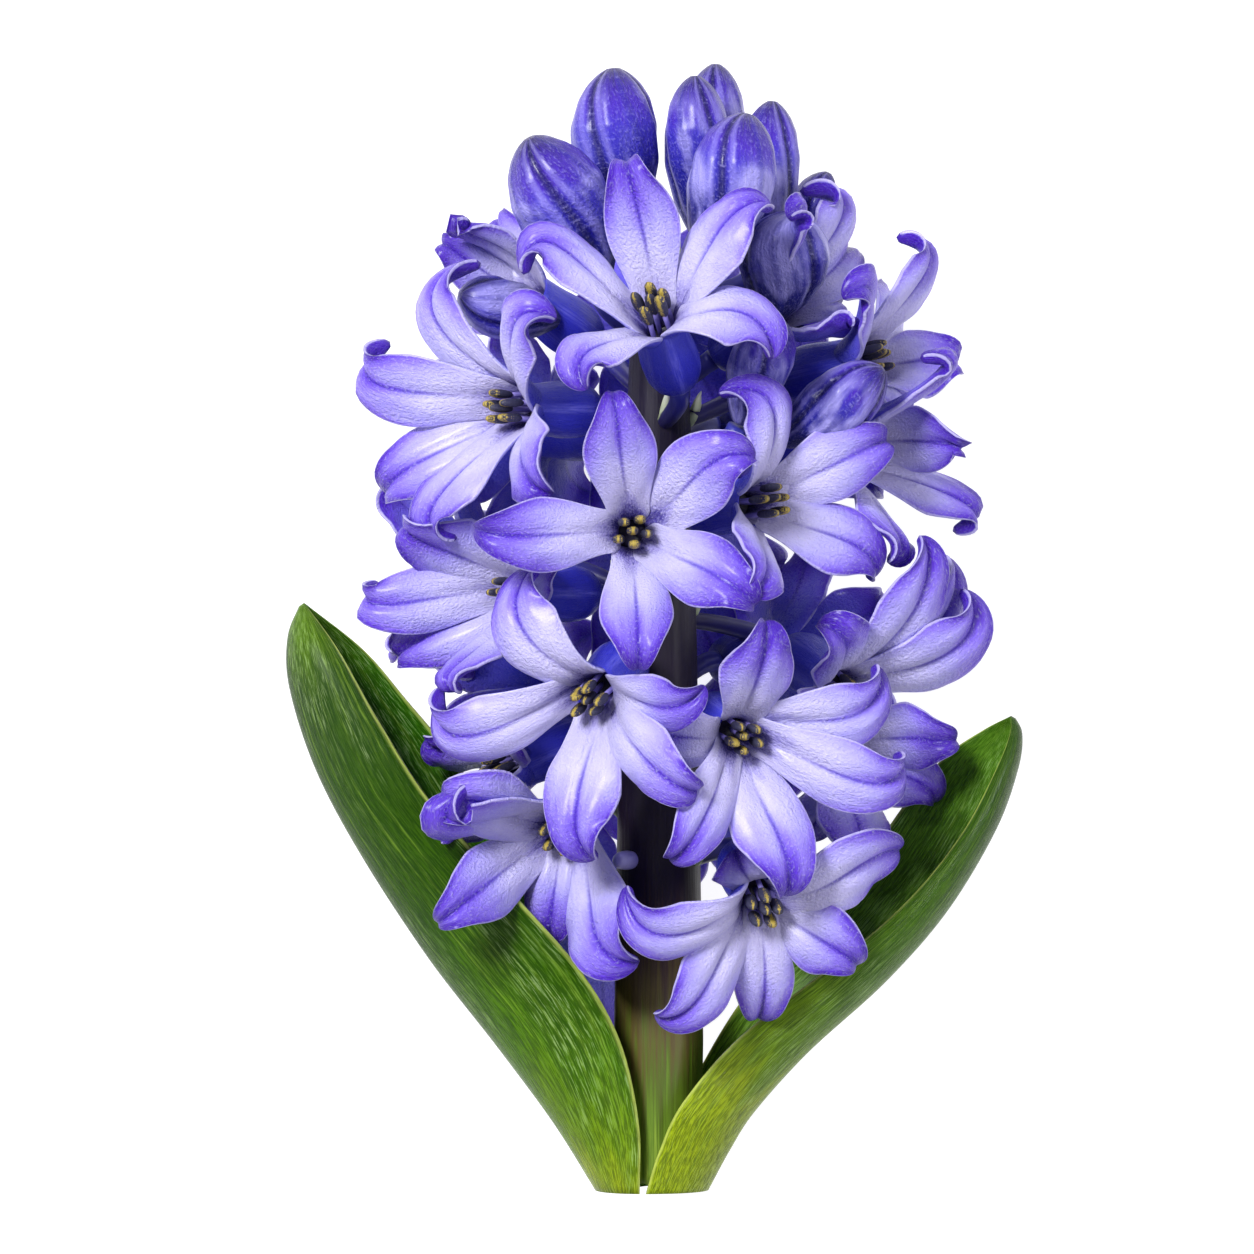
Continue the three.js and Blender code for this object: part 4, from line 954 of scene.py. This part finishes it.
def makeLeaves():
    for name, leaf in leaves.items():
        makePiece(f"{name}_blade", [growLeaf(leaf)], ["leafOuter", "leafInner"], name)


makeLeaves()
print("leaves made:", len(leaves))

stem = {
    "foot": 1.5, "tip": 123,
    "profile": [(1.5, 5.5), (20, 5.8), (45, 5.4), (70, 5.0), (95, 4.4), (112, 3.6), (122, 2.2)],
    "sides": 54, "rows": 90,
    # how deep, how many round the stem and where they start
    "ridges": [(0.012, 7, 0), (0.008, 11, 1)], "cutDish": 0.3, "tone": (0.5, 0.2),
}
stalkForm = {
    "radius": 1.1, "widths": (0.9, 0.35), "firstShare": 0.1, "leave": 1, "rise": 1.5, "bend": 3.5,
    "seatGap": 0.3, "steps": 18, "hiddenSteps": 2, "sides": 14,
}
bractForm = {
    "length": 4.5, "radius": 0.9, "taper": [1, 1.02, 1, 0.95, 0.86, 0.74, 0.6, 0.44, 0.26, 0.08],
    "lift": 1.2, "lean": 0.55, "sunk": 0.6, "bulge": 1.6, "straighten": 3, "sides": 10,
}
stuntedBud = {
    "at": (-4.6, 43.3, 5.4), "radius": 1.25, "depth": 2.2, "tone": (0.4, 0.4), "rows": 14,
    "sides": 20,
}


def stemRadius(height):
    profile = np.array(stem["profile"])
    return np.interp(height, profile[:, 0], profile[:, 1])


def growShaft():
    height = np.linspace(stem["foot"], stem["tip"] - 1, stem["rows"])
    angle = ringAngles(stem["sides"])
    swell = sum((depth * np.cos(count * angle + start) for depth, count, start in stem["ridges"]), 1)
    radius = stemRadius(height)[:, None] * swell[None, :]
    rings = np.stack([radius * np.cos(angle), np.broadcast_to(height[:, None], radius.shape),
                      radius * np.sin(angle)], axis=2)
    across = (np.cos(3 * angle)[None, :] + 1) / 2
    along = (height / stem["tip"])[:, None]
    return makeSkin(rings, across, along, ["stemSkin"] * stem["sides"],
                    (0, stem["foot"] + stem["cutDish"], 0), (0, stem["tip"], 0), stem["tone"])


def growStalk(end, direction, seat):
    form = stalkForm
    start = np.array([0, seat, 0], float)
    leave = start + awayFromStem(end) * (stemRadius(seat) + form["leave"])
    leave = leave + np.array([0, form["rise"], 0])
    line = bezier(start, leave, end - direction * form["bend"], end, form["steps"])
    line = line[form["hiddenSteps"]:]
    least, flare = form["widths"]
    radii = form["radius"] * (least + flare * np.linspace(form["firstShare"], 1, len(line)))
    return growRod(line, radii, form["sides"], "stalkSkin", anyTone())


def growBract(end, seat):
    form = bractForm
    height = seat + form["lift"]
    level = awayFromStem(end)
    root = level * (stemRadius(height) - form["sunk"]) + np.array([0, height, 0])
    way = unit(level * form["lean"] + np.array([0, 1, 0]))
    line = bezier(root, root + level * form["bulge"], root + way * form["straighten"],
                  root + way * form["length"], len(form["taper"]))
    return growRod(line, form["radius"] * np.array(form["taper"]), form["sides"], "bract", anyTone())


def growStuntedBud():
    form = stuntedBud
    at = np.array(form["at"], float)
    outward = awayFromStem(at) * form["radius"]
    return growBead(at - outward * form["depth"], at + outward, 2 * form["radius"], "stuntedBud",
                    form["tone"], rows=form["rows"], sides=form["sides"])


def makeStem():
    carried = []
    back = tubeForm["footBack"] + stalkForm["seatGap"]
    for floret in florets.values():
        direction = unit(floret["faces"])
        end = np.array(floret["throat"], float) - direction * back
        carried.append((end, direction, floret["seat"]))
    for foot, tip, _ in buds["list"]:
        direction = unit(np.array(tip, float) - np.array(foot, float))
        end = np.array(foot, float) - direction * stalkForm["seatGap"]
        carried.append((end, direction, min(foot[1] - buds["seatDrop"], buds["highestSeat"])))
    skins = [growShaft()]
    skins += [growStalk(*place) for place in carried]
    skins += [growBract(end, seat) for end, _, seat in carried]
    skins.append(growStuntedBud())
    looks = ["stemSkin", "stalkSkin", "bract", "stuntedBud"]
    makePiece("stem_with_stalks", skins, looks, "stem")


makeStem()
print("stem made")

setting = {
    "floorSize": 6.0, "floorColour": "a0a0a0", "floorGrain": "9c9c9c", "grainShare": 0.04,
    "grainScale": 40.0, "floorRoughness": 0.9, "floorGlow": 0.85, "frameWidth": 163.0,
    "lookAt": (-4.03, 73.45), "cameraHeight": 900.0, "sensor": 36.0, "nearest": 0.01, "sky": 0.33,
    "key": {"at": (-0.45, 0.45, 0.85), "size": 0.3, "power": 14.5},
    "fill": {"at": (0.65, -0.1, 0.6), "size": 0.7, "power": 3.6},
}


def makeFloor():
    half = setting["floorSize"] / 2
    mesh = bpy.data.meshes.new("floor")
    mesh.from_pydata([(-half, -half, 0), (half, -half, 0), (half, half, 0), (-half, half, 0)],
                     [], [(0, 1, 2, 3)])
    floor = addObject("floor", mesh)
    finish, tree, shader = newFinish("floorPaper", setting["floorRoughness"])
    grain = put(tree, "ShaderNodeTexNoise", {"Scale": setting["grainScale"], "Detail": 3.0})
    share = calc(tree, "MULTIPLY", grain.outputs[0], setting["grainShare"])
    base = blendOf(tree, share, colour(setting["floorColour"]), colour(setting["floorGrain"]))
    setInputs(tree, shader, {"Base Color": base, "Emission Color": (1, 1, 1, 1),
                             "Emission Strength": setting["floorGlow"]})
    mesh.materials.append(finish)


def makeLight(name, light):
    lamp = bpy.data.lights.new(name, "AREA")
    lamp.size = light["size"]
    lamp.energy = light["power"]
    holder = addObject(name, lamp)
    holder.location = light["at"]
    holder.rotation_euler = (-Vector(light["at"])).to_track_quat("-Z", "Y").to_euler()


def makeCamera():
    lens = bpy.data.cameras.new("camera")
    lens.sensor_width = setting["sensor"]
    lens.sensor_fit = "HORIZONTAL"
    lens.lens = setting["sensor"] * setting["cameraHeight"] / setting["frameWidth"]
    lens.clip_start = setting["nearest"]
    camera = addObject("camera", lens)
    x, y = setting["lookAt"]
    camera.location = inFrame((x, y, setting["cameraHeight"]))
    camera.rotation_euler = (0, 0, 0)
    bpy.context.scene.camera = camera


def makeStudio():
    makeFloor()
    makeLight("keyLight", setting["key"])
    makeLight("fillLight", setting["fill"])
    world = bpy.data.worlds.new("softSky")
    world.use_nodes = True
    sky = world.node_tree.nodes["Background"]
    sky.inputs["Color"].default_value = (1, 1, 1, 1)
    sky.inputs["Strength"].default_value = setting["sky"]
    bpy.context.scene.world = world
    bpy.context.scene.view_settings.view_transform = "Standard"
    makeCamera()


makeStudio()
print("studio made")
